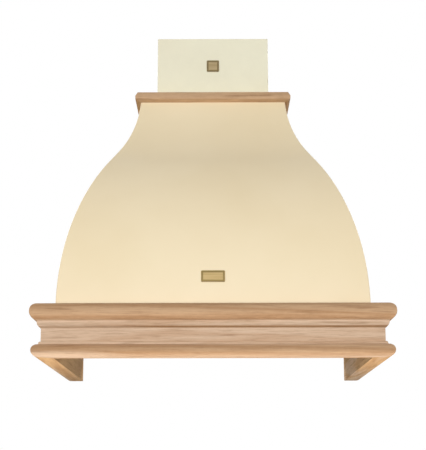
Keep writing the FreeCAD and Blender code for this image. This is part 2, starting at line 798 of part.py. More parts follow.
# ---- lamps ----
lens_radius = lamp_sleeve_radius - lamp_sleeve_wall
bezel = rod(lamp_x, strip_y, pan_level - lamp_bezel_lip, Z_AXIS, lamp_bezel_radius,
            lamp_bezel_lip)
bezel = bezel.fuse(rod(lamp_x, strip_y, pan_level, Z_AXIS, lamp_sleeve_radius,
                       lamp_sleeve_height))
bezel = bezel.cut(rod(lamp_x, strip_y, pan_level, Z_AXIS, lens_radius,
                      lamp_sleeve_height + past))
bezel = bezel.cut(rod(lamp_x, strip_y, pan_level - lamp_bezel_lip - past, Z_AXIS,
                      lens_radius - lamp_sleeve_wall, lamp_bezel_lip + 2 * past))
lens = rod(lamp_x, strip_y, pan_level, Z_AXIS, lens_radius, lens_thickness)
lamp_foot = pan_level + lamp_sleeve_height
lamp_body = rod(lamp_x, strip_y, lamp_foot, Z_AXIS, lamp_sleeve_radius, lamp_body_height)
lamp_body = lamp_body.cut(rod(lamp_x, strip_y, lamp_foot - past, Z_AXIS,
                              lamp_sleeve_radius - lamp_body_wall,
                              lamp_body_height - lamp_body_wall + past))
save("lamp_bezels", bezel, mirrored(bezel))
save("lamp_lenses", lens, mirrored(lens))
save("lamp_bodies", lamp_body, mirrored(lamp_body))

# ---- switches ----
panel_low = pan_level - switch_panel_thickness
switch_panel = block(-switch_panel_width / 2, switch_panel_width / 2,
                     strip_y - switch_panel_depth / 2, strip_y + switch_panel_depth / 2,
                     panel_low, pan_level)
stem_top = pan_level + button_stem_top
box_ceiling = stem_top + button_travel + button_gap
box_x = switch_opening_x + switch_box_wall
box_y = switch_opening_y + switch_box_wall
switch_box = block(-box_x, box_x, strip_y - box_y, strip_y + box_y, pan_top,
                   pan_top + switch_box_height)
switch_box = switch_box.cut(block(-switch_opening_x, switch_opening_x,
                                  strip_y - switch_opening_y, strip_y + switch_opening_y,
                                  pan_top - past, box_ceiling))
flange_low = pan_level + button_gap
for number in range(button_count):
    x = (number - (button_count - 1) / 2) * button_pitch
    half_x = button_width / 2
    half_y = button_depth / 2
    switch_panel = switch_panel.cut(block(
        x - half_x - button_gap, x + half_x + button_gap, strip_y - half_y - button_gap,
        strip_y + half_y + button_gap, panel_low - past, pan_level + past))
    button = block(x - half_x, x + half_x, strip_y - half_y, strip_y + half_y,
                   panel_low - button_proud, flange_low)
    button = button.fuse(block(
        x - half_x - button_flange, x + half_x + button_flange, strip_y - half_y - button_flange,
        strip_y + half_y + button_flange, flange_low, flange_low + button_flange_thickness))
    button = button.fuse(block(x - button_stem / 2, x + button_stem / 2,
                               strip_y - button_stem / 2, strip_y + button_stem / 2,
                               flange_low + button_flange_thickness, stem_top))
    save("button_" + str(number + 1), button.removeSplitter())
save("switch_panel", switch_panel)
save("switch_box", switch_box)

# ---- blower case ----
scroll_y = throat_back - scroll_large_radius
scroll_half = scroll_width / 2


def scroll_outline(outset):
    """Throat and spiral, seen along X, set out from the inside of the case."""
    front = throat_front - outset
    back = throat_back + outset
    first = math.degrees(math.acos((front - scroll_y) / (scroll_small_radius + outset)))
    sweep = FULL_TURN - first

    def spiral(turn):
        growth = (scroll_large_radius - scroll_small_radius) * (turn - first) / sweep
        return on_circle((scroll_y, scroll_axis_height), scroll_small_radius + outset + growth,
                         turn)

    steps = [[spiral(first)]]
    for number in range(scroll_arcs):
        start = first + sweep * number / scroll_arcs
        end = first + sweep * (number + 1) / scroll_arcs
        steps.append([spiral((start + end) / 2), spiral(end)])
    steps.append([(back, neck_top)])
    return path_face((front, neck_top), steps, side_plane)


def scroll_solid(outset, x_low, x_high):
    solid = scroll_outline(outset).extrude(X_AXIS * (x_high - x_low))
    solid.translate(X_AXIS * x_low)
    return solid


scroll_wrap = scroll_solid(sheet, -scroll_half, scroll_half)
scroll_wrap = scroll_wrap.cut(scroll_solid(0, -scroll_half - past, scroll_half + past))
save("scroll_wrap", scroll_wrap)

side_face = scroll_half + sheet
hanger_y = [-sheet - hanger_length * share for share in (0.5, 0.85)]
hanger_middle = hanger_level + hanger_height / 2
hanger_foot_x = side_face + hanger_thickness + hanger_foot / 2
hanger_foot_levels = [hanger_middle + hanger_height * share for share in (-0.3, 0.3)]
hanger_face = side_face + hanger_thickness
foot_face = sheet + hanger_thickness


def hanger_fixings(make):
    """Two into the throat's side and two into the back panel, made by make(x, y, h, axis)."""
    sides = [make(hanger_face, y, hanger_middle, X_AXIS * -1) for y in hanger_y]
    feet = [make(hanger_foot_x, -foot_face, height, Y_AXIS) for height in hanger_foot_levels]
    return sides, feet


side_holes, foot_holes = hanger_fixings(
    lambda x, y, h, axis: rod(x, y, h, axis, screw_radius, hanger_screw_length))
foot_holes = [hole.common(room_slab.fuse(wall_slab)) for hole in foot_holes]
side_screws, foot_screws = hanger_fixings(
    lambda x, y, h, axis: screw(x, y, h, axis, hanger_screw_length))
foot_screws = [one.common(room_slab.fuse(wall_slab)) for one in foot_screws]
hanger_screws = side_screws + foot_screws
blower_screws += hanger_screws + [mirrored(one) for one in hanger_screws]

hanger = block(side_face, hanger_face, -sheet - hanger_length, -sheet, hanger_level,
               hanger_level + hanger_height)
hanger = hanger.fuse(block(side_face, hanger_face + hanger_foot, -foot_face, -sheet,
                           hanger_level, hanger_level + hanger_height)).removeSplitter()
hanger = drill(hanger, side_holes + foot_holes)
save("blower_hangers", hanger, mirrored(hanger))
back_panel = drill(back_panel, foot_holes + [mirrored(hole) for hole in foot_holes])
save("canopy_back_panel", back_panel)

motor_screw_length = motor_flange_thickness + sheet + screw_end
motor_places = [on_circle((scroll_y, scroll_axis_height), motor_screw_circle,
                          motor_screw_turn + FULL_TURN * number / motor_screws)
                for number in range(motor_screws)]
motor_face = -side_face - motor_flange_thickness
motor_holes = [rod(motor_face, y, h, X_AXIS, screw_radius, motor_screw_length)
               for y, h in motor_places]
right_side = scroll_solid(sheet, scroll_half, side_face)
right_side = right_side.cut(rod(scroll_half - past, scroll_y, scroll_axis_height, X_AXIS,
                                inlet_radius, sheet + 2 * past))
right_side = drill(right_side, side_holes)
left_side = scroll_solid(sheet, -side_face, -scroll_half)
left_side = left_side.cut(rod(-side_face - past, scroll_y, scroll_axis_height, X_AXIS,
                              motor_boss_radius, sheet + 2 * past))
left_side = drill(left_side, motor_holes + [mirrored(hole) for hole in side_holes])
save("scroll_right_side", right_side)
save("scroll_left_side", left_side)

inlet = rod(side_face, scroll_y, scroll_axis_height, X_AXIS, inlet_radius + inlet_ring_width,
            inlet_ring_wall)
inlet = inlet.fuse(rod(side_face - inlet_ring_depth, scroll_y, scroll_axis_height, X_AXIS,
                       inlet_radius, inlet_ring_depth))
inlet = inlet.cut(rod(side_face - inlet_ring_depth - past, scroll_y, scroll_axis_height, X_AXIS,
                      inlet_radius - inlet_ring_wall,
                      inlet_ring_depth + inlet_ring_wall + 2 * past))
save("inlet_ring", inlet)

throat_flange = block(-flange_half, flange_half, duct_y - flange_half, duct_y + flange_half,
                      neck_top - scroll_flange_thickness, neck_top)
throat_flange = throat_flange.cut(block(
    -side_face, side_face, throat_front - sheet, throat_back + sheet,
    neck_top - scroll_flange_thickness - past, neck_top + past))
save("scroll_flange", drill(throat_flange, duct_screw_holes))

# ---- motor and impeller ----
motor = rod(motor_face, scroll_y, scroll_axis_height, X_AXIS, motor_flange_radius,
            motor_flange_thickness)
motor = motor.fuse(rod(motor_face - motor_length, scroll_y, scroll_axis_height, X_AXIS,
                       motor_radius, motor_length))
motor = motor.fuse(rod(-side_face, scroll_y, scroll_axis_height, X_AXIS, motor_boss_radius,
                       2 * sheet))
shaft_start = -side_face - shaft_depth
motor = motor.cut(rod(shaft_start, scroll_y, scroll_axis_height, X_AXIS,
                      shaft_radius + shaft_gap, shaft_depth + sheet + past))
save("motor", drill(motor, motor_holes))
blower_screws += [screw(motor_face, y, h, X_AXIS, motor_screw_length)
                  for y, h in motor_places]
save("blower_screws", *blower_screws)

impeller_half = scroll_half - impeller_side_gap
hub_end = -impeller_half + impeller_plate + impeller_hub_length
nut_end = hub_end + hub_nut_length


def wheel(x, radius, length):
    return rod(x, scroll_y, scroll_axis_height, X_AXIS, radius, length)


ring_inner = impeller_radius - impeller_blade
impeller = wheel(-impeller_half, impeller_radius, impeller_plate)
impeller = impeller.fuse(wheel(-impeller_half, impeller_hub_radius,
                               impeller_plate + impeller_hub_length))
impeller = impeller.cut(wheel(-impeller_half - past, shaft_radius, 2 * impeller_half))
front_ring = wheel(impeller_half - impeller_plate, impeller_radius, impeller_plate)
front_ring = front_ring.cut(wheel(impeller_half - impeller_plate - past, ring_inner,
                                  impeller_plate + 2 * past))
centre_line = side_plane(scroll_y, scroll_axis_height)
blade_chord = impeller_blade - 2 * impeller_blade_inset
blades = []
for number in range(impeller_blades):
    blade = Part.makeBox(2 * impeller_half - 2 * impeller_plate, blade_chord,
                         impeller_blade_wall,
                         V(impeller_plate - impeller_half, -blade_chord / 2,
                           -impeller_blade_wall / 2))
    blade.rotate(V(0, 0, 0), X_AXIS, impeller_blade_turn)
    blade.translate(Y_AXIS * (impeller_radius - impeller_blade / 2))
    blade.rotate(V(0, 0, 0), X_AXIS, FULL_TURN * number / impeller_blades)
    blade.translate(centre_line)
    blades.append(blade)
impeller = impeller.fuse(blades + [front_ring])
save("impeller", impeller)
save("motor_shaft", wheel(shaft_start, shaft_radius, nut_end + shaft_end - shaft_start))
save("hub_nut", wheel(hub_end, hub_nut_radius, hub_nut_length).cut(
    wheel(hub_end - past, shaft_radius, hub_nut_length + 2 * past)))

# ---- outlet collar and its two flaps ----
collar_foot = plate_top + duct_flange_thickness
bore_radius = duct_radius - duct_wall
collar = block(-flange_half, flange_half, duct_y - flange_half, duct_y + flange_half,
               plate_top, collar_foot)
collar = collar.fuse(rod(0, duct_y, collar_foot, Z_AXIS, duct_radius, duct_rise))
collar = collar.cut(rod(0, duct_y, plate_top - past, Z_AXIS, bore_radius,
                        duct_flange_thickness + duct_rise + 2 * past))
pin_level = collar_foot + flap_level
ledge_top = pin_level - flap_thickness / 2 - flap_seat_gap
ledge = rod(0, duct_y, ledge_top - flap_ledge_height, Z_AXIS, bore_radius, flap_ledge_height)
ledge = ledge.cut(rod(0, duct_y, ledge_top - flap_ledge_height - past, Z_AXIS,
                      bore_radius - flap_ledge, flap_ledge_height + 2 * past))
collar = collar.fuse(ledge)
flap_pin = rod(-duct_radius, duct_y, pin_level, X_AXIS, flap_pin_radius, 2 * duct_radius)
save("outlet_collar", drill(collar.cut(flap_pin), duct_screw_holes))
save("flap_pin", flap_pin)

knuckle_span = 2 * (bore_radius - flap_ledge - 2 * flap_gap) / flap_knuckles
flap_disc = rod(0, duct_y, pin_level - flap_thickness / 2, Z_AXIS, bore_radius - flap_gap,
                flap_thickness)


def knuckle(number, grow):
    x = (number - flap_knuckles / 2) * knuckle_span
    return rod(x + flap_seat_gap - grow, duct_y, pin_level, X_AXIS, flap_knuckle_radius + grow,
               knuckle_span - 2 * flap_seat_gap + 2 * grow)


def flap(side, own, others):
    """Half disc on one side of the pin, with its own knuckles round it."""
    half = block(-duct_radius, duct_radius, duct_y + min(0, side * duct_radius),
                 duct_y + max(0, side * duct_radius), pin_level - past, pin_level + past)
    half = half.cut(block(-duct_radius, duct_radius, duct_y - flap_seat_gap,
                          duct_y + flap_seat_gap, pin_level - 2 * past, pin_level + 2 * past))
    shape = flap_disc.common(half)
    for number in [-1] + others + [flap_knuckles]:
        shape = shape.cut(knuckle(number, 2 * flap_seat_gap))
    for number in own:
        shape = shape.fuse(knuckle(number, 0))
    return shape.cut(rod(-duct_radius, duct_y, pin_level, X_AXIS,
                         flap_pin_radius + flap_pin_gap, 2 * duct_radius))


even = list(range(0, flap_knuckles, 2))
odd = list(range(1, flap_knuckles, 2))
save("front_flap", flap(-1, even, odd))
save("rear_flap", flap(1, odd, even))

# ---- cable gland, wiring box and capacitor ----
gland = rod(gland_x, gland_y, plate_top, Z_AXIS, gland_body_radius, gland_body_height)
gland = gland.fuse(rod(gland_x, gland_y, plate_top - gland_thread_length, Z_AXIS,
                       gland_thread_radius, gland_thread_length))
gland = gland.cut(rod(gland_x, gland_y, plate_top - gland_thread_length - past, Z_AXIS,
                      gland_hole_radius, gland_thread_length + gland_body_height + 2 * past))
nut = rod(gland_x, gland_y, neck_top - gland_nut_thickness, Z_AXIS, gland_nut_radius,
          gland_nut_thickness)
nut = nut.cut(rod(gland_x, gland_y, neck_top - gland_nut_thickness - past, Z_AXIS,
                  gland_thread_radius, gland_nut_thickness + 2 * past))
save("cable_gland", gland, nut)

wiring_box_x = skirt_half_width - wiring_box_inset
box_left = wiring_box_x - wiring_box_width / 2
box_right = wiring_box_x + wiring_box_width / 2
box_front = -sheet - wiring_box_depth
box_high = wiring_box_level + wiring_box_height
wiring_box = block(box_left, box_right, box_front, -sheet, wiring_box_level, box_high)
wiring_box = wiring_box.cut(block(
    box_left + wiring_box_wall, box_right - wiring_box_wall, box_front - past,
    -sheet - wiring_box_wall, wiring_box_level + wiring_box_wall, box_high - wiring_box_wall))
wiring_box = wiring_box.cut(rod(wiring_box_x, box_front / 2,
                                box_high - wiring_box_wall - past, Z_AXIS, gland_hole_radius,
                                wiring_box_wall + 2 * past))
save("wiring_box", wiring_box)
save("wiring_lid", block(box_left, box_right, box_front - wiring_lid_thickness, box_front,
                         wiring_box_level, box_high))
terminal_back = -sheet - wiring_box_wall
terminal_low = wiring_box_level + (wiring_box_height - terminal_height) / 2
save("terminal_block", block(
    wiring_box_x - terminal_width / 2, wiring_box_x + terminal_width / 2,
    terminal_back - terminal_depth, terminal_back, terminal_low, terminal_low + terminal_height))

capacitor_x = capacitor_inset - skirt_half_width
capacitor_y = -sheet - capacitor_clip_wall - capacitor_radius
capacitor = rod(capacitor_x, capacitor_y, wiring_box_level, Z_AXIS, capacitor_radius,
                capacitor_length)
clip_low = wiring_box_level + (capacitor_length - capacitor_clip_width) / 2
clip = rod(capacitor_x, capacitor_y, clip_low, Z_AXIS, capacitor_radius + capacitor_clip_wall,
           capacitor_clip_width)
clip = clip.fuse(block(capacitor_x - capacitor_clip_foot, capacitor_x + capacitor_clip_foot,
                       -sheet - capacitor_clip_wall, -sheet, clip_low,
                       clip_low + capacitor_clip_width))
save("capacitor", capacitor)
save("capacitor_clip", clip.cut(capacitor))
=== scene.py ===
"""Looks of a wall-mounted bell-shaped extractor hood with beech trims.

Metres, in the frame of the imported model: +X right, +Y into the wall, +Z up.
"""
import json
import math

import bmesh
import bpy
from mathutils import Matrix, Vector

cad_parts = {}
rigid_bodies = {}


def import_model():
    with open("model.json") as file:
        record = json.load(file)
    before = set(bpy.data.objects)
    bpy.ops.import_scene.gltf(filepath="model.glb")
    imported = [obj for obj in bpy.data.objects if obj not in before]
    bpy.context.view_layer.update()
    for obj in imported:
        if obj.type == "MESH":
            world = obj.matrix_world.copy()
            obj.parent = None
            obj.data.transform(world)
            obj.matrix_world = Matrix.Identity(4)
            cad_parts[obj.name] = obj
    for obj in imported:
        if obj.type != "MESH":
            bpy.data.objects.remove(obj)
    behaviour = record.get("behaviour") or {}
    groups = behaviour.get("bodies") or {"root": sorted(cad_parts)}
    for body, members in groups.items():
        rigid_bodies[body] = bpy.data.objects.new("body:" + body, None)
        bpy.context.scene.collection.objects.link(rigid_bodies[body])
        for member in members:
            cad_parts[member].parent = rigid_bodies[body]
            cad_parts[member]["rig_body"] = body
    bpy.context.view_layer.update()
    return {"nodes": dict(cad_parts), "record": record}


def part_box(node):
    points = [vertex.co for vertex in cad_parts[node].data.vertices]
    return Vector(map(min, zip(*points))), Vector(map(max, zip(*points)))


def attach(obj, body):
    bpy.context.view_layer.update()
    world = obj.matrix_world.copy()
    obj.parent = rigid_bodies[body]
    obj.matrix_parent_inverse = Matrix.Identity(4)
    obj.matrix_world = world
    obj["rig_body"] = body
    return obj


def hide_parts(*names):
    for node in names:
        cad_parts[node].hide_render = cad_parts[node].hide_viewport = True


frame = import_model()
NODES = frame["nodes"]
MM = 0.001
SHARP = math.radians(50)      # edges this sharp keep a crease in the shading
FLAT = math.radians(0.6)      # faces that meet flatter than this become one
WELD = 0.002 * MM

# ---- camera, at the photograph's viewing angle ----
LENS_SENSOR = 36.0
FOCAL_PIXELS = 1160.1
LONG_SIDE = 450.0
CAMERA_PLACE = Vector((3.25, -2344.7, -481.9)) * MM
CAMERA_PITCH = math.radians(12.576)
CAMERA_YAW = math.radians(0.094)
CAMERA_ROLL = math.radians(-0.105)
CLIP_START = 0.05
CLIP_END = 50.0


def make_camera():
    """Camera at the place and angle that the photograph was fitted with."""
    lens = bpy.data.cameras.new("camera")
    lens.sensor_width = LENS_SENSOR
    lens.lens = FOCAL_PIXELS * LENS_SENSOR / LONG_SIDE
    lens.clip_start = CLIP_START
    lens.clip_end = CLIP_END
    camera = bpy.data.objects.new("camera", lens)
    bpy.context.scene.collection.objects.link(camera)
    turn = (Matrix.Rotation(CAMERA_YAW, 4, "Z")
            @ Matrix.Rotation(math.pi / 2 + CAMERA_PITCH, 4, "X")
            @ Matrix.Rotation(CAMERA_ROLL, 4, "Z"))
    camera.matrix_world = Matrix.Translation(CAMERA_PLACE) @ turn
    bpy.context.scene.camera = camera


# ---- shader helpers ----
def new_group(name, inputs, outputs):
    """Shader node group. inputs and outputs are (name, kind, default) tuples."""
    group = bpy.data.node_groups.new(name, "ShaderNodeTree")
    for label, kind, value in inputs:
        socket = group.interface.new_socket(label, in_out="INPUT", socket_type=kind)
        if value is not None:
            socket.default_value = value
    for label, kind in outputs:
        group.interface.new_socket(label, in_out="OUTPUT", socket_type=kind)
    group.nodes.new("NodeGroupInput")
    group.nodes.new("NodeGroupOutput")
    return group


def ends(group):
    """The sockets that come into a group and those that it puts out."""
    start = next(node for node in group.nodes if node.bl_idname == "NodeGroupInput")
    finish = next(node for node in group.nodes if node.bl_idname == "NodeGroupOutput")
    return start.outputs, finish.inputs


def add(tree, kind, links=(), **settings):
    """New node. settings set its properties; links is a list of (socket, value or output)."""
    node = tree.nodes.new(kind)
    for key, value in settings.items():
        setattr(node, key, value)
    for key, value in links:
        if isinstance(value, bpy.types.NodeSocket):
            tree.links.new(value, node.inputs[key])
        else:
            node.inputs[key].default_value = value
    return node


def maths(tree, operation, first, second=0.0, third=None, clamp=False):
    links = [(0, first), (1, second)]
    if third is not None:
        links.append((2, third))
    node = add(tree, "ShaderNodeMath", links, operation=operation, use_clamp=clamp)
    return node.outputs[0]


def mix(tree, factor, first, second):
    """Mix of two colours or outputs."""
    first, second = (value if isinstance(value, bpy.types.NodeSocket) else (*value, 1)
                     for value in (first, second))
    node = add(tree, "ShaderNodeMix", [(0, factor), (6, first), (7, second)], data_type="RGBA")
    return node.outputs[2]


def ramp(tree, value, low, high):
    """0 where the value is at low, 1 where it is at high, and clamped beyond them."""
    node = add(tree, "ShaderNodeMapRange",
               [("Value", value), ("From Min", low), ("From Max", high)])
    return node.outputs[0]


def noise(tree, vector, scale, detail=3.0, rough=0.5, distortion=0.0):
    node = add(tree, "ShaderNodeTexNoise",
               [("Vector", vector), ("Scale", scale), ("Detail", detail),
                ("Roughness", rough), ("Distortion", distortion)])
    return node.outputs["Fac"]


COORD = "NodeSocketVector"
NUMBER = "NodeSocketFloat"
GROWTH_BANDS = 34.0           # how often the wood's broad figure turns dark and pale
BANDS_SHARE = 0.45            # of the figure, the rest being a softer drift
SOFT_SCALE = 2.6              # both as multiples of the figure's own scale
FLAME_SCALE = 1.3


def make_edge_wear():
    """Mask of rubbed outer edges, broken up by noise."""
    group = new_group("edge_wear",
                      [("Vector", COORD, None), ("Amount", NUMBER, 0.5),
                       ("Patch Size", NUMBER, 60.0)],
                      [("Wear", NUMBER)])
    start, finish = ends(group)
    geometry = add(group, "ShaderNodeNewGeometry")
    edge = ramp(group, geometry.outputs["Pointiness"], 0.52, 0.62)
    spread = noise(group, start["Vector"], start["Patch Size"], detail=5.0, rough=0.65)
    worn = maths(group, "MULTIPLY", edge, ramp(group, spread, 0.40, 0.66))
    worn = maths(group, "MULTIPLY", worn, start["Amount"], clamp=True)
    group.links.new(worn, finish["Wear"])
    return group


def make_wood_grain():
    """Straight grain along the stretched axis: figure, fibres, short flecks, pale flames."""
    group = new_group("wood_grain",
                      [("Vector", COORD, None), ("Figure", NUMBER, 5.0),
                       ("Fibre", NUMBER, 60.0), ("Fleck", NUMBER, 42.0)],
                      [("Figure", NUMBER), ("Fibres", NUMBER), ("Flecks", NUMBER),
                       ("Flames", NUMBER)])
    start, finish = ends(group)
    broad = noise(group, start["Vector"], start["Figure"], detail=4.0, rough=0.55,
                  distortion=0.9)
    bands = maths(group, "SINE", maths(group, "MULTIPLY", broad, GROWTH_BANDS))
    bands = ramp(group, bands, -1.0, 1.0)
    soft = noise(group, start["Vector"], maths(group, "MULTIPLY", start["Figure"], SOFT_SCALE),
                 rough=0.6)
    figure = maths(group, "ADD", maths(group, "MULTIPLY", bands, BANDS_SHARE),
                   maths(group, "MULTIPLY", soft, 1.0 - BANDS_SHARE))
    fibres = noise(group, start["Vector"], start["Fibre"], detail=4.0, rough=0.7)
    spots = noise(group, start["Vector"], start["Fleck"], detail=1.0, rough=0.4)
    flecks = ramp(group, spots, 0.63, 0.72)
    slow = noise(group, start["Vector"], maths(group, "MULTIPLY", start["Figure"], FLAME_SCALE),
                 detail=2.0, rough=0.45, distortion=1.4)
    group.links.new(ramp(group, slow, 0.53, 0.60), finish["Flames"])
    group.links.new(figure, finish["Figure"])
    group.links.new(fibres, finish["Fibres"])
    group.links.new(flecks, finish["Flecks"])
    return group


def make_surface_noise():
    """Slow drift for colour and roughness, and a fine tooth for the bump."""
    group = new_group("surface_noise",
                      [("Vector", COORD, None), ("Drift Size", NUMBER, 6.0),
                       ("Tooth Size", NUMBER, 700.0)],
                      [("Drift", NUMBER), ("Tooth", NUMBER)])
    start, finish = ends(group)
    drift = noise(group, start["Vector"], start["Drift Size"], detail=4.0, rough=0.55)
    tooth = noise(group, start["Vector"], start["Tooth Size"], detail=2.0)
    group.links.new(drift, finish["Drift"])
    group.links.new(tooth, finish["Tooth"])
    return group


EDGE_WEAR = make_edge_wear()
WOOD_GRAIN = make_wood_grain()
SURFACE_NOISE = make_surface_noise()


class Finish:
    """A material with its Principled BSDF and Object coordinates ready for use."""

    def __init__(self, name, colour, rough, metallic=0.0, stretch=(1, 1, 1)):
        self.material = bpy.data.materials.new(name)
        self.material.use_nodes = True
        self.tree = self.material.node_tree
        self.shader = self.tree.nodes["Principled BSDF"]
        self.shader.inputs["Base Color"].default_value = (*colour, 1)
        self.shader.inputs["Roughness"].default_value = rough
        self.shader.inputs["Metallic"].default_value = metallic
        self.material.diffuse_color = (*colour, 1)
        place = add(self.tree, "ShaderNodeTexCoord").outputs["Object"]
        self.plain = place
        self.vector = add(self.tree, "ShaderNodeMapping",
                          [("Vector", place), ("Scale", stretch)]).outputs[0]

    def group(self, tree, vector=None, **values):
        node = add(self.tree, "ShaderNodeGroup", node_tree=tree)
        self.tree.links.new(vector or self.vector, node.inputs["Vector"])
        for key, value in values.items():
            node.inputs[key.replace("_", " ")].default_value = value
        return node.outputs

    def feed(self, socket, value):
        self.tree.links.new(value, self.shader.inputs[socket])

    def vary_roughness(self, pattern, amount, least):
        self.feed("Roughness", maths(self.tree, "MULTIPLY_ADD", pattern, amount, least))

    def bump(self, height, strength, distance):
        node = add(self.tree, "ShaderNodeBump",
                   [("Height", height), ("Strength", strength), ("Distance", distance)])
        self.feed("Normal", node.outputs[0])


def rgb(text):
    """Linear colour from a hexadecimal one."""
    parts = [int(text[at:at + 2], 16) / 255 for at in (0, 2, 4)]
    return tuple(part / 12.92 if part <= 0.04045 else ((part + 0.055) / 1.055) ** 2.4
                 for part in parts)


def toned(colour, share, lift=0.0):
    """The colour made paler, or darker where the share is under 1."""
    return tuple(min(1.0, part * share + lift) for part in colour)


def enamel(name, colour, shade, primer):
    """Satin enamel on steel: faint drift, fine orange peel and rubbed edges."""
    finish = Finish(name, colour, 0.42)
    surface = finish.group(SURFACE_NOISE, Drift_Size=5.0, Tooth_Size=900.0)
    worn = finish.group(EDGE_WEAR, Amount=0.25, Patch_Size=45.0)["Wear"]
    base = mix(finish.tree, ramp(finish.tree, surface["Drift"], 0.35, 0.68), colour, shade)
    finish.feed("Base Color", mix(finish.tree, worn, base, primer))
    finish.vary_roughness(surface["Drift"], 0.14, 0.35)
    finish.bump(surface["Tooth"], 0.06, 0.0004)
    finish.shader.inputs["Specular IOR Level"].default_value = 0.35
    return finish.material


def stops(tree, value, *pairs):
    """A value read off straight lines between (place, level) pairs."""
    node = add(tree, "ShaderNodeValToRGB", [("Fac", value)])
    scale = node.color_ramp.elements
    while len(scale) < len(pairs):
        scale.new(0.5)
    for element, (place, level) in zip(scale, pairs):
        element.position = place
        element.color = (level, level, level, 1)
    return node.outputs["Color"]


RAIL_LOW, RAIL_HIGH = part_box("frame_front_rail")
BAND_SPAN = 100.0 * MM        # height that the rail's bands are set out over
RAIL_LIGHT_AND_SHADE_BANDS = (                # (share of it, tone), painted light and shade by height: 1 is the fascia painted pale, 0.5 a bead's own tone, less the groove's painted shade
    (0.05, 0.5), (0.16, 0.5), (0.21, 0.9), (0.478, 1.0), (0.487, 0.2), (0.505, 0.2),
    (0.514, 1.0), (0.592, 1.0), (0.61, 0.5))
OUTER_SKIN = 22.0 * MM        # the bands end this far in from the rails' outermost edges
INNER_SKIN = 24.0 * MM
GRAIN_ACROSS = 26.0
GRAIN_ALONG = 1.6
FIBRES_SHARE = 0.42           # darkest that fibres and flecks turn the wood
FLECKS_SHARE = 0.38


def beech(name, axis, pale, deep, fleck_and_groove_shade, foot=0.5, flames=0.55):
    """Unfinished beech, its grain along one axis, with painted light on the moulding's flats and
    underside and painted shade in its groove.
    """
    stretch = [GRAIN_ACROSS] * 3
    stretch[axis] = GRAIN_ALONG
    finish = Finish(name, pale, 0.62, stretch=stretch)
    tree = finish.tree
    grain = finish.group(WOOD_GRAIN, Figure=0.55, Fibre=16.0, Fleck=7.0)
    worn = finish.group(EDGE_WEAR, vector=finish.plain, Amount=0.35, Patch_Size=90.0)["Wear"]
    across, along, height = add(tree, "ShaderNodeSeparateXYZ", [("Vector", finish.plain)]).outputs
    level = maths(tree, "DIVIDE", maths(tree, "SUBTRACT", height, RAIL_LOW.z), BAND_SPAN)
    inset = maths(tree, "MINIMUM", maths(tree, "SUBTRACT", along, RAIL_LOW.y),
                  maths(tree, "SUBTRACT", RAIL_HIGH.x, maths(tree, "ABSOLUTE", across)))
    outer = ramp(tree, inset, INNER_SKIN, OUTER_SKIN)
    light_and_shade_band = stops(tree, level, (0.0, foot), *RAIL_LIGHT_AND_SHADE_BANDS)
    # Painted light: the fascia and ovolo flats are made paler, and so is the underside where the
    # foot level asks for it.
    flat = maths(tree, "MULTIPLY", ramp(tree, light_and_shade_band, 0.5, 1.0), outer)
    # Painted shade: the groove under the ovolo is darkened to the fleck tone.
    painted_groove_shade = maths(tree, "MULTIPLY", ramp(tree, light_and_shade_band, 0.5, 0.0), outer)
    light = mix(tree, painted_groove_shade, mix(tree, flat, pale, PAINTED_LIGHT_AND_FLAME_TONES[0]), fleck_and_groove_shade)
    heavy = mix(tree, painted_groove_shade, mix(tree, flat, deep, PAINTED_LIGHT_AND_FLAME_TONES[1]), fleck_and_groove_shade)
    tone = mix(tree, ramp(tree, grain["Figure"], 0.22, 0.80), light, heavy)
    flame = maths(tree, "MULTIPLY", grain["Flames"], flames)
    tone = mix(tree, flame, tone, PAINTED_LIGHT_AND_FLAME_TONES[0])
    thread = maths(tree, "MULTIPLY", ramp(tree, grain["Fibres"], 0.46, 0.72), FIBRES_SHARE)
    tone = mix(tree, thread, tone, fleck_and_groove_shade)
    tone = mix(tree, maths(tree, "MULTIPLY", grain["Flecks"], FLECKS_SHARE), tone, fleck_and_groove_shade)
    finish.feed("Base Color", mix(tree, worn, tone, toned(pale, 1.12)))
    finish.vary_roughness(grain["Fibres"], 0.25, 0.48)
    relief = maths(tree, "SUBTRACT", grain["Fibres"], grain["Flecks"])
    finish.bump(relief, 0.22, 0.0006)
    finish.shader.inputs["Specular IOR Level"].default_value = 0.02
    return finish.material


METAL_DRIFT = (0.36, 0.72)
METAL_ROUGHENING = 0.22
POLISH = 0.08                 # how far the smoothest spots go below a finish's roughness


def metal(name, colour, rough, stretch=(1, 1, 1), scratch=0.08, dull=None):
    """Bare or plated metal with a directional or even fine scratch."""
    finish = Finish(name, colour, rough, 1.0, stretch)
    surface = finish.group(SURFACE_NOISE, Drift_Size=14.0, Tooth_Size=420.0)
    finish.feed("Base Color", mix(finish.tree, ramp(finish.tree, surface["Drift"], *METAL_DRIFT),
                                  colour, dull or toned(colour, 0.78)))
    finish.vary_roughness(surface["Tooth"], METAL_ROUGHENING, rough - POLISH)
    finish.bump(surface["Tooth"], scratch, 0.0003)
    return finish.material


def plastic(name, colour, rough, tooth=0.10):
    """Moulded plastic with a fine tooth and slightly rubbed edges."""
    finish = Finish(name, colour, rough)
    surface = finish.group(SURFACE_NOISE, Drift_Size=20.0, Tooth_Size=1100.0)
    worn = finish.group(EDGE_WEAR, Amount=0.4, Patch_Size=140.0)["Wear"]
    base = mix(finish.tree, surface["Drift"], colour, toned(colour, 0.86))
    finish.feed("Base Color", mix(finish.tree, worn, base, toned(colour, 1.3, 0.03)))
    finish.vary_roughness(surface["Drift"], 0.16, rough - POLISH)
    finish.bump(surface["Tooth"], tooth, 0.0002)
    return finish.material


PLATE_SPAN = 10.0 * MM        # the plate's bands are set out over this, in from its edge
PLATE_BANDS = ((0.0, 0.45), (0.10, 0.45), (0.14, 1.0), (0.32, 1.0), (0.40, 0.0))
PLATE_ROUGH = 0.42


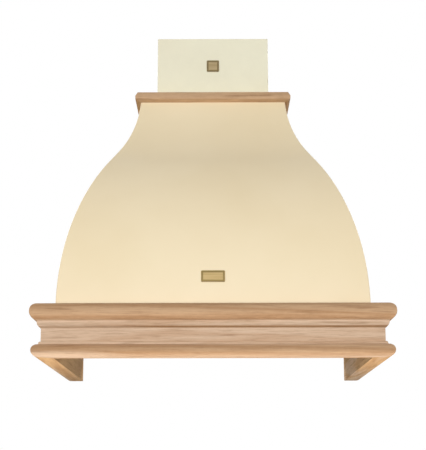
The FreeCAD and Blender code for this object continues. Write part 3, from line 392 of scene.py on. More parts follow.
def plate_brass(node, colour, dull):
    """Brushed brass, darker over the plate's raised border."""
    low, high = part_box(node)
    finish = Finish(node + "_brass", colour, PLATE_ROUGH, 1.0, (1, 1, 30))
    tree = finish.tree
    surface = finish.group(SURFACE_NOISE, Drift_Size=14.0, Tooth_Size=420.0)
    place = add(tree, "ShaderNodeSeparateXYZ", [("Vector", finish.plain)]).outputs
    inside = [maths(tree, "SUBTRACT", (high[at] - low[at]) / 2,
                    maths(tree, "ABSOLUTE", maths(tree, "SUBTRACT", place[at],
                                                  (low[at] + high[at]) / 2)))
              for at in (0, 2)]
    edge = maths(tree, "DIVIDE", maths(tree, "MINIMUM", *inside), PLATE_SPAN)
    border = stops(tree, edge, *PLATE_BANDS)
    field = mix(tree, ramp(tree, surface["Drift"], *METAL_DRIFT), colour, dull)
    finish.feed("Base Color", mix(tree, border, field, toned(dull, 0.66)))
    finish.vary_roughness(surface["Tooth"], METAL_ROUGHENING, PLATE_ROUGH - POLISH)
    finish.bump(surface["Tooth"], 0.10, 0.0003)
    return finish.material


RING_PITCH = 4.0 * MM
# Colours painted on the lens rings as their shade and their light.
RING_PAINTED_SHADE = (0.52, 0.53, 0.51)
RING_PAINTED_LIGHT = (0.95, 0.95, 0.92)


def ribbed_glass(name):
    """Frosted lens with pressed rings round the middle of each of the two lamps, its colour painted
    dark in the ring troughs and pale on the crests as the rings' light and shade.
    """
    low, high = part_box("lamp_lenses")
    radius = (high.y - low.y) / 2
    finish = Finish(name, (0.90, 0.90, 0.87), 0.30)
    tree = finish.tree
    surface = finish.group(SURFACE_NOISE, Drift_Size=30.0, Tooth_Size=600.0)
    place = add(tree, "ShaderNodeSeparateXYZ", [("Vector", finish.plain)]).outputs
    across = maths(tree, "SUBTRACT", maths(tree, "ABSOLUTE", place[0]), high.x - radius)
    along = maths(tree, "SUBTRACT", place[1], (high.y + low.y) / 2)
    away = maths(tree, "SQRT", maths(tree, "ADD", maths(tree, "POWER", across, 2.0),
                                     maths(tree, "POWER", along, 2.0)))
    rings = maths(tree, "SINE", maths(tree, "MULTIPLY", away, 2 * math.pi / RING_PITCH))
    finish.shader.inputs["Transmission Weight"].default_value = 0.45
    # Painted light and shade: the ring troughs coloured dark and the crests pale.
    finish.feed("Base Color", mix(tree, ramp(tree, rings, -1.0, 1.0), RING_PAINTED_SHADE, RING_PAINTED_LIGHT))
    finish.bump(maths(tree, "MULTIPLY_ADD", surface["Tooth"], 0.3, rings), 0.5, 0.0006)
    return finish.material


GRAIN_X = 0
GRAIN_Y = 1
# Pale wood, deep wood, then the dark tone of its fibres and flecks, which also paints the shade in
# the rail's groove.
BEECH_TONES = (rgb("C8A582"), rgb("AE8763"), rgb("8A6545"))
# Side rails: the beech's tones made warmer and more saturated, painting warm bounce light into
# their shade under the hood.
SIDE_TONES_WITH_PAINTED_BOUNCE = (rgb("CFA778"), rgb("B68A5D"), rgb("916842"))
# Pale tones painted over the rail's flats as light. The first is also the colour of the grain's
# pale flames.
PAINTED_LIGHT_AND_FLAME_TONES = (rgb("D9BEA4"), rgb("C8A78A"))
TRIM_TONES = (rgb("D0AC88"), rgb("BC9976"), rgb("8F6946"))
FINISHES = {
    "cream_enamel": enamel("cream_enamel", rgb("F3E2BF"), rgb("EFDDB8"), rgb("CFC4A8")),
    "chimney_enamel": enamel("chimney_enamel", rgb("F0ECD3"), rgb("ECE6CC"), rgb("CFCAB4")),
    # The front rail's foot level makes its underside paler: painted light from below.
    "beech": beech("beech_along_x", GRAIN_X, *BEECH_TONES, foot=0.8),
    "beech_trim": beech("beech_trim", GRAIN_X, *TRIM_TONES, flames=0.15),
    # The side rails take the warmed tones: painted bounce light.
    "beech_side": beech("beech_along_y", GRAIN_Y, *SIDE_TONES_WITH_PAINTED_BOUNCE),
    "lower_nameplate": plate_brass("lower_nameplate", rgb("9A8660"), rgb("84724A")),
    "upper_nameplate": plate_brass("upper_nameplate", rgb("8F7F62"), rgb("776849")),
    "satin_steel": metal("satin_steel", rgb("C4C4C0"), 0.36, (1, 24, 24), 0.12),
    "filter_aluminium": metal("filter_aluminium", rgb("C2C4C6"), 0.34, (1, 18, 18), 0.12),
    "catch_metal": metal("catch_metal", rgb("D6D6D6"), 0.16, (1, 1, 1), 0.02),
    "lens_glass": ribbed_glass("lens_glass"),
    "lamp_metal": metal("lamp_metal", rgb("B8B9BB"), 0.42),
    "switch_plastic": plastic("switch_plastic", rgb("3A3A3A"), 0.5, 0.2),
    "button_plastic": plastic("button_plastic", rgb("E3DFD2"), 0.3, 0.05),
    "zinc_steel": metal("zinc_steel", rgb("B0B5B8"), 0.42, (1, 1, 1), 0.10, rgb("969CA0")),
    "screw_steel": metal("screw_steel", rgb("C0C0BC"), 0.30),
    "motor_paint": plastic("motor_paint", rgb("2C2C2E"), 0.42, 0.15),
    "impeller_plastic": plastic("impeller_plastic", rgb("45484A"), 0.48, 0.12),
    "nut_brass": metal("nut_brass", rgb("C2A062"), 0.28),
    "collar_plastic": plastic("collar_plastic", rgb("4A4A4C"), 0.5, 0.15),
    "wiring_plastic": plastic("wiring_plastic", rgb("A6A8AA"), 0.46, 0.12),
}
SLOT_OF = {row["node"]: row["material_slot"] for row in frame["record"]["subparts"]}


# ---- mesh helpers ----
def modified(mesh, change):
    """The mesh after change(object) has put modifiers on an object that holds it."""
    holder = bpy.data.objects.new("holder", mesh)
    bpy.context.scene.collection.objects.link(holder)
    change(holder)
    graph = bpy.context.evaluated_depsgraph_get()
    result = bpy.data.meshes.new_from_object(holder.evaluated_get(graph))
    bpy.data.objects.remove(holder)
    return result


def evenly_shaded(mesh):
    """Smooth shading that keeps the large flat faces flat beside their rounded edges."""
    mesh.shade_smooth()
    mesh.set_sharp_from_angle(angle=SHARP)

    def weigh(holder):
        normals = holder.modifiers.new("normals", "WEIGHTED_NORMAL")
        normals.keep_sharp = True
    return modified(mesh, weigh)


def put(mesh, name, body, slot, *replaced, material=None):
    """Link a finished mesh as a piece on a body, standing for the replaced nodes."""
    mesh = evenly_shaded(mesh)
    mesh.materials.clear()
    mesh.materials.append(FINISHES[material or slot])
    piece = bpy.data.objects.new(name, mesh)
    bpy.context.scene.collection.objects.link(piece)
    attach(piece, body)
    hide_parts(*replaced)


def from_bmesh(build, name):
    """Mesh of a finished bmesh, which is freed."""
    mesh = bpy.data.meshes.new(name)
    build.to_mesh(mesh)
    build.free()
    return mesh


def polygon_mesh(name, points, faces):
    mesh = bpy.data.meshes.new(name)
    mesh.from_pydata([tuple(point) for point in points], [], faces)
    mesh.update()
    return mesh


def bevelled(mesh, width, segments=2, angle=math.radians(35)):
    """The mesh with every edge sharper than the angle rounded off."""
    def change(holder):
        bevel = holder.modifiers.new("bevel", "BEVEL")
        bevel.width = width
        bevel.segments = segments
        bevel.limit_method = "ANGLE"
        bevel.angle_limit = angle
        bevel.use_clamp_overlap = True
    return modified(mesh, change)


def welded(node):
    """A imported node's loose triangles, joined along their edges."""
    build = bmesh.new()
    build.from_mesh(NODES[node].data)
    bmesh.ops.remove_doubles(build, verts=build.verts, dist=WELD)
    return build


def add_block(build, middle, size, turn=Matrix()):
    bmesh.ops.create_cube(build, size=1.0, matrix=(
        Matrix.Translation(middle) @ turn @ Matrix.Diagonal((*size, 1))))


def refine(node, body, width, segments=2, material=None):
    """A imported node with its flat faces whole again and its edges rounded."""
    build = welded(node)
    bmesh.ops.dissolve_limit(build, angle_limit=FLAT, verts=build.verts, edges=build.edges)
    mesh = bevelled(from_bmesh(build, node), width * MM, segments)
    put(mesh, node + "_finished", body, SLOT_OF[node], node, material=material)


# ---- geometry node helpers ----
def new_tree(name, inputs):
    tree = bpy.data.node_groups.new(name, "GeometryNodeTree")
    tree.interface.new_socket("Geometry", in_out="INPUT", socket_type="NodeSocketGeometry")
    for label, kind in inputs:
        tree.interface.new_socket(label, in_out="INPUT", socket_type=kind)
    tree.interface.new_socket("Geometry", in_out="OUTPUT", socket_type="NodeSocketGeometry")
    tree.nodes.new("NodeGroupInput")
    tree.nodes.new("NodeGroupOutput")
    return tree


def grown(tree, mesh, values):
    """The mesh that a geometry tree makes from a mesh, with its named inputs set."""
    def change(holder):
        step = holder.modifiers.new("grow", "NODES")
        step.node_group = tree
        for item in tree.interface.items_tree:
            if item.in_out == "INPUT" and item.name in values:
                step[item.identifier] = values[item.name]
    return modified(mesh, change)


def vector_maths(tree, operation, first, second=(0, 0, 0)):
    node = add(tree, "ShaderNodeVectorMath", [(0, first), (1, second)], operation=operation)
    return node.outputs["Value" if operation == "DOT_PRODUCT" else 0]


def scaled(tree, vector, amount):
    node = add(tree, "ShaderNodeVectorMath", [(0, vector), ("Scale", amount)],
               operation="SCALE")
    return node.outputs[0]


def make_sweep():
    """Straight moulding: an end section run along a direction, each end cut to a mitre."""
    tree = new_tree("mitred_moulding", [
        ("Direction", "NodeSocketVector"), ("Length", NUMBER), ("Inward", "NodeSocketVector"),
        ("Edge", "NodeSocketVector"), ("Start Mitre", NUMBER), ("End Mitre", NUMBER),
        ("Finish", "NodeSocketMaterial")])
    start, finish = ends(tree)
    run = add(tree, "GeometryNodeExtrudeMesh",
              [("Mesh", start["Geometry"]), ("Offset", start["Direction"]),
               ("Offset Scale", start["Length"]), ("Individual", False)], mode="FACES")
    back = add(tree, "GeometryNodeFlipFaces", [("Mesh", start["Geometry"])])
    both = tree.nodes.new("GeometryNodeJoinGeometry")
    tree.links.new(run.outputs["Mesh"], both.inputs[0])
    tree.links.new(back.outputs[0], both.inputs[0])
    whole = add(tree, "GeometryNodeMergeByDistance",
                [("Geometry", both.outputs[0]), ("Distance", WELD / 2)])
    offset = vector_maths(tree, "SUBTRACT", tree.nodes.new("GeometryNodeInputPosition").outputs[0],
                          start["Edge"])
    inset = vector_maths(tree, "DOT_PRODUCT", offset, start["Inward"])
    along = maths(tree, "DIVIDE", vector_maths(tree, "DOT_PRODUCT", offset, start["Direction"]),
                  start["Length"])
    at_start = maths(tree, "MULTIPLY", start["Start Mitre"], maths(tree, "SUBTRACT", 1.0, along))
    at_end = maths(tree, "MULTIPLY", start["End Mitre"], along)
    slide = maths(tree, "MULTIPLY", inset, maths(tree, "SUBTRACT", at_start, at_end))
    moved = add(tree, "GeometryNodeSetPosition",
                [("Geometry", whole.outputs[0]),
                 ("Offset", scaled(tree, start["Direction"], slide))])
    made = add(tree, "GeometryNodeRealizeInstances", [("Geometry", moved.outputs[0])])
    painted = add(tree, "GeometryNodeSetMaterial",
                  [("Geometry", made.outputs[0]), ("Material", start["Finish"])])
    tree.links.new(painted.outputs[0], finish["Geometry"])
    return tree


SWEEP = make_sweep()


def arc(centre, radius, first, last, count):
    """Points along an arc, angles in degrees."""
    turns = [math.radians(first + (last - first) * number / count) for number in range(count + 1)]
    return [(centre[0] + radius * math.cos(turn), centre[1] + radius * math.sin(turn))
            for turn in turns]


def arc_by(start, through, end, count):
    """Points along the arc through three points."""
    a, b, c = (Vector(point) for point in (start, through, end))
    twice = 2 * ((b - a).x * (c - a).y - (b - a).y * (c - a).x)
    square_b, square_c = (b - a).length_squared, (c - a).length_squared
    centre = a + Vector((((c - a).y * square_b - (b - a).y * square_c) / twice,
                         ((b - a).x * square_c - (c - a).x * square_b) / twice))
    first = math.atan2((a - centre).y, (a - centre).x)
    last = math.atan2((c - centre).y, (c - centre).x)
    if twice > 0 and last < first:
        last += 2 * math.pi
    if twice < 0 and last > first:
        last -= 2 * math.pi
    return arc(centre, (a - centre).length, math.degrees(first), math.degrees(last), count)


# ---- sizes read from the frame ----
SKIRT_LOW, SKIRT_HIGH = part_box("canopy_front_panel")
PLATE_LOW, PLATE_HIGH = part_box("canopy_top_plate")
TRIM_LOW, TRIM_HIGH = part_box("neck_trim_front")
CHIMNEY_LOW, CHIMNEY_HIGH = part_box("chimney_cover")
FOOT = RAIL_LOW.z
SHEET = 1.0 * MM


# ---- beech mouldings ----
# Sections are (inset, height) points in millimetres, from the outermost edge and the foot.
RAIL_HEIGHT = 88.0
RAIL_THICKNESS = 37.5
TOP_BEAD = 12.5
HOLLOW_MIDDLE = (2.0, 65.9)
HOLLOW_END = (11.5, 59.5)
OVOLO_MIDDLE = (12.4, 52.3)
FASCIA_TOP = (17.7, 47.5)
FASCIA_FOOT = (17.7, 25.5)
STEP = (15.4, 25.2)
COVE_MIDDLE = (14.3, 22.6)
LOW_BEAD = 10.4
LOW_BEAD_INSET = 3.5
TRIM_SECTION = [(10.35, 0.0), (0.35, 4.0), (0.0, 10.4), (4.25, 18.9), (10.35, 18.9)]
EASED_EDGE = 0.35 * MM
EASED_ANGLE = math.radians(40)


def rail_section():
    """The rail's end, from its inner top corner round to its inner foot."""
    bead_middle = RAIL_HEIGHT - TOP_BEAD
    low_bead_top = (LOW_BEAD_INSET + LOW_BEAD, 2 * LOW_BEAD)
    points = [(RAIL_THICKNESS, RAIL_HEIGHT)]
    points += arc((TOP_BEAD, bead_middle), TOP_BEAD, 90, 180, 12)
    points += arc_by((0.0, bead_middle), HOLLOW_MIDDLE, HOLLOW_END, 8)[1:]
    points += arc_by(HOLLOW_END, OVOLO_MIDDLE, FASCIA_TOP, 8)[1:]
    points += [FASCIA_FOOT, STEP]
    points += arc_by(STEP, COVE_MIDDLE, low_bead_top, 4)[1:-1]
    points += arc((LOW_BEAD_INSET + LOW_BEAD, LOW_BEAD), LOW_BEAD, 90, 270, 20)
    points += [(RAIL_THICKNESS, 0.0)]
    return points


def moulding(name, section, place, run, length, inward, edge, mitres, finish, node):
    """One mitred length; place(inset, height) puts the section at its start."""
    corners = [place(inset * MM, height * MM) for inset, height in section]
    normal = Vector()
    for here, after in zip(corners, corners[1:] + corners[:1]):
        normal += Vector(here).cross(Vector(after))
    order = list(range(len(corners)))
    if normal.dot(Vector(run)) < 0:
        order.reverse()
    flat = polygon_mesh(name, corners, [order])
    mesh = grown(SWEEP, flat, {"Direction": run, "Length": length, "Inward": inward,
                               "Edge": edge, "Start Mitre": mitres[0],
                               "End Mitre": mitres[1], "Finish": FINISHES[finish]})
    put(bevelled(mesh, EASED_EDGE, angle=EASED_ANGLE), name, "hood", "beech", node,
        material=finish)


def make_surround(section, low, high, name, node, front_finish):
    """Front moulding and two side ones, back to the wall; low and high box the front one.

    name and node hold a place for the word front, left or right.
    """
    foot, front = low.z, low.y
    moulding(name.format("front"), section,
             lambda inset, height: (low.x, front + inset, foot + height),
             (1, 0, 0), high.x - low.x, (0, 1, 0), (low.x, front, foot), (1, 1),
             front_finish, node.format("front"))
    for word, side in (("left", -1), ("right", 1)):
        edge = side * (high.x - low.x) / 2
        moulding(name.format(word), section,
                 lambda inset, height: (edge - side * inset, front, foot + height),
                 (0, 1, 0), -front, (-side, 0, 0), (edge, front, foot), (1, 0),
                 "beech_side", node.format(word))


# ---- bell ----
BEND_START = 84.0 * MM
NECK_FOOT = 508.0 * MM
SIDE_ARCS = (0.7515, 0.327)   # belly and waist radii, as shares of one arc to the neck
FRONT_ARCS = (0.732, 0.4975)
BELL_ROWS = 72
SKIRT_ROW = 6.0 * MM          # extra rows, this far under the bend and above the neck's foot
NECK_ROW = 5.0 * MM
CORNER_RADIUS = 1.6 * MM
CORNER_STEPS = 5


def ogee(edge, neck, belly, waist):
    """Distance from the middle as a function of height, for the two-arc bell curve."""
    rise = NECK_FOOT - BEND_START
    single = ((edge - neck) ** 2 + rise ** 2) / (2 * (edge - neck))
    low_radius, high_radius = belly * single, waist * single
    low = Vector((edge - low_radius, BEND_START))
    gap = Vector((neck, NECK_FOOT)) - low
    reach = low_radius + high_radius
    share = (gap.length_squared + reach ** 2 - high_radius ** 2) / (2 * gap.length)
    off = math.sqrt(reach ** 2 - share ** 2)
    high = low + (share * gap + off * Vector((gap.y, -gap.x))) / gap.length
    turn = low.y + (high.y - low.y) * low_radius / reach

    def distance(height):
        if height <= BEND_START:
            return edge
        if height <= turn:
            return low.x + math.sqrt(low_radius ** 2 - (height - low.y) ** 2)
        if height < NECK_FOOT:
            return high.x - math.sqrt(high_radius ** 2 - (height - high.y) ** 2)
        return neck
    return distance


def make_bell():
    """Front and side panels as one welded and enamelled skin."""
    half = ogee(SKIRT_HIGH.x, PLATE_HIGH.x, *SIDE_ARCS)
    deep = ogee(-SKIRT_LOW.y, -PLATE_LOW.y, *FRONT_ARCS)
    step = (NECK_FOOT - BEND_START) / BELL_ROWS
    heights = [SKIRT_LOW.z - FOOT, BEND_START - SKIRT_ROW]
    heights += [BEND_START + step * number for number in range(BELL_ROWS + 1)]
    heights += [NECK_FOOT + NECK_ROW, SKIRT_HIGH.z - FOOT]
    points, faces = [], []
    for height in heights:
        x, y = half(height), deep(height)
        corner = arc((-x + CORNER_RADIUS, -y + CORNER_RADIUS), CORNER_RADIUS, 180, 270,
                     CORNER_STEPS)
        left = [(-x, -SHEET)] + corner
        row = left + [(-px, py) for px, py in reversed(left)]
        points += [(px, py, height + FOOT) for px, py in row]
    columns = len(points) // len(heights)
    for level in range(len(heights) - 1):
        for column in range(columns - 1):
            at = level * columns + column
            faces.append((at, at + 1, at + 1 + columns, at + columns))

    def thicken(holder):
        wall = holder.modifiers.new("wall", "SOLIDIFY")
        wall.thickness = SHEET
        wall.offset = -1
    mesh = modified(polygon_mesh("bell_skin", points, faces), thicken)
    put(mesh, "bell_skin", "hood", "cream_enamel", "canopy_front_panel", "canopy_left_panel",
        "canopy_right_panel")


# ---- chimney ----
FOLD_RADIUS = 1.8 * MM
FOLD_STEPS = 6
SHEET_EDGE = 0.25 * MM        # rounding of the cut edges
CHIMNEY_FOOT = 14.0 * MM
SLEEVE_LIP = 10.0 * MM


def folded_cover(half, depth, low, high, lip=0.0):
    """Three-sided cover with rounded folds, and an inward lip along each rear edge."""
    def leg(x, y, radius):
        fold = arc((-x + radius, -y + radius), radius, 180, 270, FOLD_STEPS)
        return [(-x, 0.0)] + fold
    outer = leg(half, depth, FOLD_RADIUS)
    inner = leg(half - SHEET, depth - SHEET, FOLD_RADIUS - SHEET)
    if lip:
        inner[0] = (-half + SHEET, -SHEET)
        inner = [(-half + lip, 0.0), (-half + lip, -SHEET)] + inner
    loop = outer + [(-x, y) for x, y in reversed(outer)]
    loop += [(-x, y) for x, y in inner] + list(reversed(inner))
    flat = polygon_mesh("cover", [(x, y, low) for x, y in loop], [list(range(len(loop)))])
    return grown(SWEEP, flat, {"Direction": (0, 0, 1), "Length": high - low,
                               "Inward": (0, 0, 0), "Edge": (0, 0, low),
                               "Finish": FINISHES["chimney_enamel"]})


def joined(name, meshes):
    """Several meshes as one."""
    build = bmesh.new()
    for mesh in meshes:
        build.from_mesh(mesh)
    return from_bmesh(build, name)


def make_chimney():
    """Chimney cover with the inward foot that it stands on, and the sleeve inside it."""
    low, high = CHIMNEY_LOW, CHIMNEY_HIGH
    walls = folded_cover(high.x, -low.y, low.z, high.z)
    foot = CHIMNEY_FOOT
    top = low.z + SHEET
    x, y = high.x - SHEET, low.y + SHEET
    strips = [(-x, -x + foot, y, 0.0), (x - foot, x, y, 0.0), (-x + foot, x - foot, y, y + foot)]
    build = bmesh.new()
    build.from_mesh(walls)
    for x_low, x_high, y_low, y_high in strips:
        size = Vector((x_high - x_low, y_high - y_low, top - low.z))
        middle = Vector(((x_low + x_high) / 2, (y_low + y_high) / 2, (low.z + top) / 2))
        add_block(build, middle, size)
    mesh = bevelled(from_bmesh(build, "chimney_walls"), SHEET_EDGE)
    put(mesh, "chimney_walls", "hood", "chimney_enamel", "chimney_cover")
    low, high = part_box("chimney_sleeve")
    sleeve = bevelled(folded_cover(high.x, -low.y, low.z, high.z, SLEEVE_LIP), SHEET_EDGE)
    put(sleeve, "sliding_sleeve", "chimney_sleeve", "chimney_enamel", "chimney_sleeve")


# ---- filter lattice ----
def make_lattice():
    """Expanded-metal sheet: zigzag strands side by side, every other one mirrored."""
    tree = new_tree("expanded_sheet", [
        ("Corner", "NodeSocketVector"), ("Width", NUMBER), ("Strand Pitch", NUMBER),
        ("Strands", "NodeSocketInt"), ("Bonds", "NodeSocketInt"), ("Wire", NUMBER),
        ("Finish", "NodeSocketMaterial")])
    start, finish = ends(tree)
    across = add(tree, "ShaderNodeCombineXYZ", [("X", start["Width"])])
    line = add(tree, "GeometryNodeCurvePrimitiveLine", [("End", across.outputs[0])])
    bonds = add(tree, "GeometryNodeResampleCurve",
                [("Curve", line.outputs[0]), ("Count", start["Bonds"])])
    index = tree.nodes.new("GeometryNodeInputIndex").outputs[0]
    odd = maths(tree, "MODULO", index, 2.0)
    sway = maths(tree, "MULTIPLY", maths(tree, "SUBTRACT", odd, 0.5), start["Strand Pitch"])
    zigzag = add(tree, "GeometryNodeSetPosition", [
        ("Geometry", bonds.outputs[0]),
        ("Offset", add(tree, "ShaderNodeCombineXYZ", [("Y", sway)]).outputs[0])])
    ring = add(tree, "GeometryNodeCurvePrimitiveCircle",
               [("Resolution", 4), ("Radius", start["Wire"])])
    strand = add(tree, "GeometryNodeCurveToMesh",
                 [("Curve", zigzag.outputs[0]), ("Profile Curve", ring.outputs[0]),
                  ("Fill Caps", True)])
    pitch = add(tree, "ShaderNodeCombineXYZ", [("Y", start["Strand Pitch"])])
    places = add(tree, "GeometryNodeMeshLine",
                 [("Count", start["Strands"]), ("Start Location", start["Corner"]),
                  ("Offset", pitch.outputs[0])])
    flip = maths(tree, "SUBTRACT", 1.0, maths(tree, "MULTIPLY", odd, 2.0))
    scale = add(tree, "ShaderNodeCombineXYZ", [("X", 1.0), ("Y", flip), ("Z", 1.0)])
    copies = add(tree, "GeometryNodeInstanceOnPoints",
                 [("Points", places.outputs[0]), ("Instance", strand.outputs[0]),
                  ("Scale", scale.outputs[0])])
    made = add(tree, "GeometryNodeRealizeInstances", [("Geometry", copies.outputs[0])])
    painted = add(tree, "GeometryNodeSetMaterial",
                  [("Geometry", made.outputs[0]), ("Material", start["Finish"])])
    tree.links.new(painted.outputs[0], finish["Geometry"])
    return tree


LATTICE = make_lattice()
STRAND_PITCH = 5.0 * MM
BOND_PITCH = 5.6 * MM
WIRE = 0.45 * MM              # radius of a strand
SHEET_INSET = 1.2 * WIRE      # a sheet's middle, in from the mesh's face
PAD = Vector((1.0 * MM, 1.0 * MM, 4 * WIRE))    # how much smaller the pad is than the mesh


def make_filter_mesh(side):
    """Two expanded sheets with a pad of knitted aluminium between them."""
    node = side + "_filter_mesh"
    low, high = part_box(node)
    size = high - low
    build = bmesh.new()
    for height in (low.z + SHEET_INSET, high.z - SHEET_INSET):
        build.from_mesh(grown(LATTICE, polygon_mesh("seed", [(0, 0, 0)], []), {
            "Corner": (low.x + WIRE, low.y + STRAND_PITCH / 2 + WIRE, height),
            "Width": size.x - 2 * WIRE, "Strand Pitch": STRAND_PITCH,
            "Strands": int((size.y - 2 * WIRE) / STRAND_PITCH),
            "Bonds": int(size.x / BOND_PITCH), "Wire": WIRE,
            "Finish": FINISHES["filter_aluminium"]}))
    bmesh.ops.recalc_face_normals(build, faces=build.faces)
    add_block(build, (low + high) / 2, size - PAD)
    put(from_bmesh(build, node), side + "_filter_lattice", side + "_filter", "filter_aluminium",
        node)


# ---- screws ----
def make_screw_tree():
    """Turned screws on points: the 'aim' attribute points from the head along the shank."""
    tree = new_tree("screws", [("Screw", "NodeSocketObject"), ("Finish", "NodeSocketMaterial")])
    start, finish = ends(tree)
    aim = add(tree, "GeometryNodeInputNamedAttribute", [("Name", "aim")],
              data_type="FLOAT_VECTOR")
    turn = add(tree, "FunctionNodeAlignRotationToVector", [("Vector", aim.outputs[0])], axis="Z")
    source = add(tree, "GeometryNodeObjectInfo", [("Object", start["Screw"])])
    copies = add(tree, "GeometryNodeInstanceOnPoints",
                 [("Points", start["Geometry"]), ("Instance", source.outputs["Geometry"]),
                  ("Rotation", turn.outputs[0])])
    made = add(tree, "GeometryNodeRealizeInstances", [("Geometry", copies.outputs[0])])
    painted = add(tree, "GeometryNodeSetMaterial",
                  [("Geometry", made.outputs[0]), ("Material", start["Finish"])])
    tree.links.new(painted.outputs[0], finish["Geometry"])
    return tree


SCREWS = make_screw_tree()
SCREW_SIDES = 24
SCREW_HEAD = 3.8 * MM
SCREW_HEAD_HEIGHT = 2.2 * MM
SCREW_RIM = 0.5 * MM          # straight edge of the head
SCREW_SHANK = 1.9 * MM
SCREW_TIP = 1.5 * MM
SLOT_WIDTH = 0.75 * MM
SLOT_DEPTH = 0.8 * MM
HEAD_ONLY = 3.0 * MM          # only the head has points this far from the screw's axis
NEARLY = 0.1 * MM


def screw_shape(length):
    """Domed head with a cross recess above Z = 0 pointing down -Z, shank along +Z."""
    build = bmesh.new()
    outline = [(0.0, -SCREW_HEAD_HEIGHT), (SCREW_HEAD * 0.55, -SCREW_HEAD_HEIGHT * 0.93),
               (SCREW_HEAD * 0.86, -SCREW_HEAD_HEIGHT * 0.66), (SCREW_HEAD, -SCREW_RIM),
               (SCREW_HEAD, 0.0), (SCREW_SHANK, 0.0), (SCREW_SHANK, length - SCREW_TIP),
               (0.0, length)]
    rows = []
    for radius, height in outline:
        if radius == 0.0:
            rows.append([build.verts.new((0, 0, height))])
        else:
            rows.append([build.verts.new((x, y, height))
                         for x, y in arc((0, 0), radius, 0, 360, SCREW_SIDES)[:-1]])
    for low, high in zip(rows, rows[1:]):
        for number in range(SCREW_SIDES):
            after = (number + 1) % SCREW_SIDES
            loop = [low[number % len(low)], low[after % len(low)],
                    high[after % len(high)], high[number % len(high)]]
            build.faces.new(list(dict.fromkeys(loop)))
    bmesh.ops.recalc_face_normals(build, faces=build.faces)
    head = from_bmesh(build, "screw")
    slots = bmesh.new()
    for turn in (0, math.pi / 2):
        add_block(slots, (0, 0, -SCREW_HEAD_HEIGHT),
                  (SCREW_HEAD * 1.05, SLOT_WIDTH, 2 * SLOT_DEPTH), Matrix.Rotation(turn, 4, "Z"))
    cutter = bpy.data.objects.new("cutter", from_bmesh(slots, "cutter"))
    bpy.context.scene.collection.objects.link(cutter)

    def recess(holder):
        cut = holder.modifiers.new("recess", "BOOLEAN")
        cut.object = cutter
        cut.operation = "DIFFERENCE"
        cut.use_self = True
    mesh = modified(head, recess)
    bpy.data.objects.remove(cutter)
    return mesh


def screw_places(node):
    """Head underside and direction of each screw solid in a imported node."""
    build = welded(node)
    seen = set()
    places = []
    for first in build.verts:
        if first in seen:
            continue
        seen.add(first)
        group, queue = [], [first]
        while queue:
            vert = queue.pop()
            group.append(vert.co.copy())
            for edge in vert.link_edges:
                other = edge.other_vert(vert)
                if other not in seen:
                    seen.add(other)
                    queue.append(other)
        low = Vector([min(co[axis] for co in group) for axis in range(3)])
        high = Vector([max(co[axis] for co in group) for axis in range(3)])
        middle = (low + high) / 2
        for axis in range(3):
            others = [part for part in range(3) if part != axis]
            head = [co for co in group
                    if math.hypot(*(co[part] - middle[part] for part in others)) > HEAD_ONLY]
            span = high[axis] - low[axis]
            reach = [co[axis] for co in head]
            if head and max(reach) - min(reach) < SCREW_HEAD_HEIGHT + 2 * NEARLY < span:
                at_low = min(reach) - low[axis] < NEARLY
                aim = Vector()
                aim[axis] = 1.0 if at_low else -1.0
                place = middle.copy()
                place[axis] = max(reach) if at_low else min(reach)
                places.append((place, aim, span - SCREW_HEAD_HEIGHT))
                break
    build.free()
    return places


def make_screws(node):
    """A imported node's screws, each drawn anew where its solid is."""
    name = node.replace("_", "_fixing_")
    places = screw_places(node)
    meshes = []
    for length in sorted({round(length, 4) for place, aim, length in places}):
        chosen = [(place, aim) for place, aim, span in places if round(span, 4) == length]
        seeds = polygon_mesh("seeds", [place for place, aim in chosen], [])
        aims = seeds.attributes.new("aim", "FLOAT_VECTOR", "POINT")
        for number, (place, aim) in enumerate(chosen):
            aims.data[number].vector = aim
        shape = bpy.data.objects.new("screw", screw_shape(length))
        bpy.context.scene.collection.objects.link(shape)
        meshes.append(grown(SCREWS, seeds,
                            {"Screw": shape, "Finish": FINISHES["screw_steel"]}))
        bpy.data.objects.remove(shape)
    put(joined(name, meshes), name, "hood", "screw_steel", node)


# ---- everything else ----
ROUNDED = {                   # edge rounding of each node, in millimetres
    "canopy_top_plate": 0.25, "canopy_back_panel": 0.3, "filter_pan": 0.25,
    "left_filter_frame": 0.3, "right_filter_frame": 0.3, "left_filter_latch": 0.4,
    "right_filter_latch": 0.4, "lamp_bezels": 0.5, "lamp_lenses": 0.6, "lamp_bodies": 0.5,
    "switch_panel": 0.35, "switch_box": 0.6, "scroll_wrap": 0.25, "scroll_left_side": 0.3,
    "scroll_right_side": 0.3, "scroll_flange": 0.3, "inlet_ring": 0.4, "blower_hangers": 0.4,
    "wall_doublers": 0.5, "motor": 1.0, "outlet_collar": 0.5, "front_flap": 0.3,
    "rear_flap": 0.3, "flap_pin": 0.2, "motor_shaft": 0.3, "hub_nut": 0.4, "cable_gland": 0.5,
    "wiring_box": 0.5, "wiring_lid": 0.5, "terminal_block": 0.5, "capacitor": 0.8,
    "capacitor_clip": 0.3, "frame_mitre_tongues": 0.3, "lower_nameplate": 0.2,
    "upper_nameplate": 0.2, "impeller": 0.15,
}

BUTTON_COUNT = 5
BUTTON_ROUNDING = 0.9
BUTTON_SEGMENTS = 3


def make_rest():
    """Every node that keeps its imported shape, with rounded edges and a finish."""
    for node, width in ROUNDED.items():
        finish = node if node in FINISHES else None
        refine(node, NODES[node]["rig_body"], width, material=finish)
    for number in range(BUTTON_COUNT):
        node = "button_" + str(number + 1)
        refine(node, node, BUTTON_ROUNDING, BUTTON_SEGMENTS)


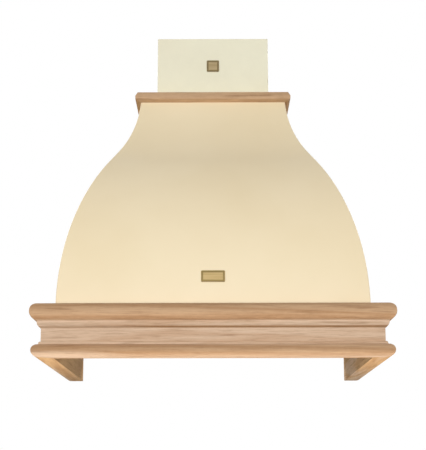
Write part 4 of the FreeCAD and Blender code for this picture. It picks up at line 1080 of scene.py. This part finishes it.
# ---- stage, light and world ----
AMBIENT = 0.25
KEY_POWER = 77.0
LOW_POWER = 1.35
LOW_SPREAD = math.radians(100)
LOW_COLOUR = (1.0, 0.96, 0.91)
REAR_POWER = 60.0
FLOOR_GLOW = 0.62
FLOOR_COLOUR = (0.86, 0.86, 0.85)
FLOOR_ROUGH = 0.9
FLOOR_HALF = 9.0
FLOOR_DROP = 3.2              # below the wall holes, clear of views from 60 degrees underneath


def seen_directly(tree):
    """1 where the camera sees a thing itself, in metal or through glass; 0 for its light."""
    path = add(tree, "ShaderNodeLightPath")
    reflected = maths(tree, "MAXIMUM", path.outputs["Is Glossy Ray"],
                      path.outputs["Is Transmission Ray"])
    return maths(tree, "MAXIMUM", path.outputs["Is Camera Ray"], reflected)


def make_stage():
    """Pale floor far below the hood."""
    corners = [(x * FLOOR_HALF, y * FLOOR_HALF, -FLOOR_DROP)
               for x, y in ((-1, -1), (1, -1), (1, 1), (-1, 1))]
    floor = polygon_mesh("floor", corners, [(0, 1, 2, 3)])
    paint = bpy.data.materials.new("floor")
    paint.use_nodes = True
    shader = paint.node_tree.nodes["Principled BSDF"]
    shader.inputs["Base Color"].default_value = (*FLOOR_COLOUR, 1)
    shader.inputs["Roughness"].default_value = FLOOR_ROUGH
    shader.inputs["Emission Color"].default_value = (1, 1, 1, 1)
    tree = paint.node_tree
    tree.links.new(maths(tree, "MULTIPLY", seen_directly(tree), FLOOR_GLOW),
                   shader.inputs["Emission Strength"])
    floor.materials.append(paint)
    plane = bpy.data.objects.new("floor", floor)
    bpy.context.scene.collection.objects.link(plane)


def area_light(name, place, aim, width, height, power, colour=(1, 1, 1), spread=math.pi):
    lamp = bpy.data.lights.new(name, "AREA")
    lamp.shape = "RECTANGLE"
    lamp.size = width
    lamp.size_y = height
    lamp.energy = power
    lamp.color = colour
    lamp.spread = spread
    holder = bpy.data.objects.new(name, lamp)
    bpy.context.scene.collection.objects.link(holder)
    toward = Vector(aim) - Vector(place)
    holder.matrix_world = (Matrix.Translation(place)
                           @ toward.to_track_quat("-Z", "Y").to_matrix().to_4x4())


def make_world():
    """White surroundings that light the hood at the ambient level."""
    world = bpy.data.worlds.new("world")
    bpy.context.scene.world = world
    world.use_nodes = True
    tree = world.node_tree
    strength = maths(tree, "MULTIPLY_ADD", seen_directly(tree), 1.0 - AMBIENT, AMBIENT)
    sky = tree.nodes["Background"]
    sky.inputs["Color"].default_value = (1, 1, 1, 1)
    tree.links.new(strength, sky.inputs["Strength"])


make_camera()
make_stage()
make_world()
area_light("front_softbox", (-0.2, -3.4, -0.1), (0, -0.3, -0.05), 2.6, 1.8, KEY_POWER)
area_light("low_softbox", (0.0, -0.46, -0.72), (0, -0.42, -0.28), 1.0, 0.2, LOW_POWER,
           LOW_COLOUR, LOW_SPREAD)
for side in (-1, 1):
    area_light("rear_softbox", (2.6 * side, 1.5, 1.5), (0, -0.1, 0), 1.6, 1.6, REAR_POWER)
make_surround(rail_section(), RAIL_LOW, RAIL_HIGH, "{}_moulding", "frame_{}_rail", "beech")
make_surround(TRIM_SECTION, TRIM_LOW, TRIM_HIGH, "{}_neck_moulding", "neck_trim_{}",
              "beech_trim")
make_bell()
make_chimney()
make_filter_mesh("left")
make_filter_mesh("right")
for screws in ("frame_screws", "pan_screws", "blower_screws", "chimney_screws"):
    make_screws(screws)
make_rest()

scene = bpy.context.scene
scene.view_settings.view_transform = "Standard"
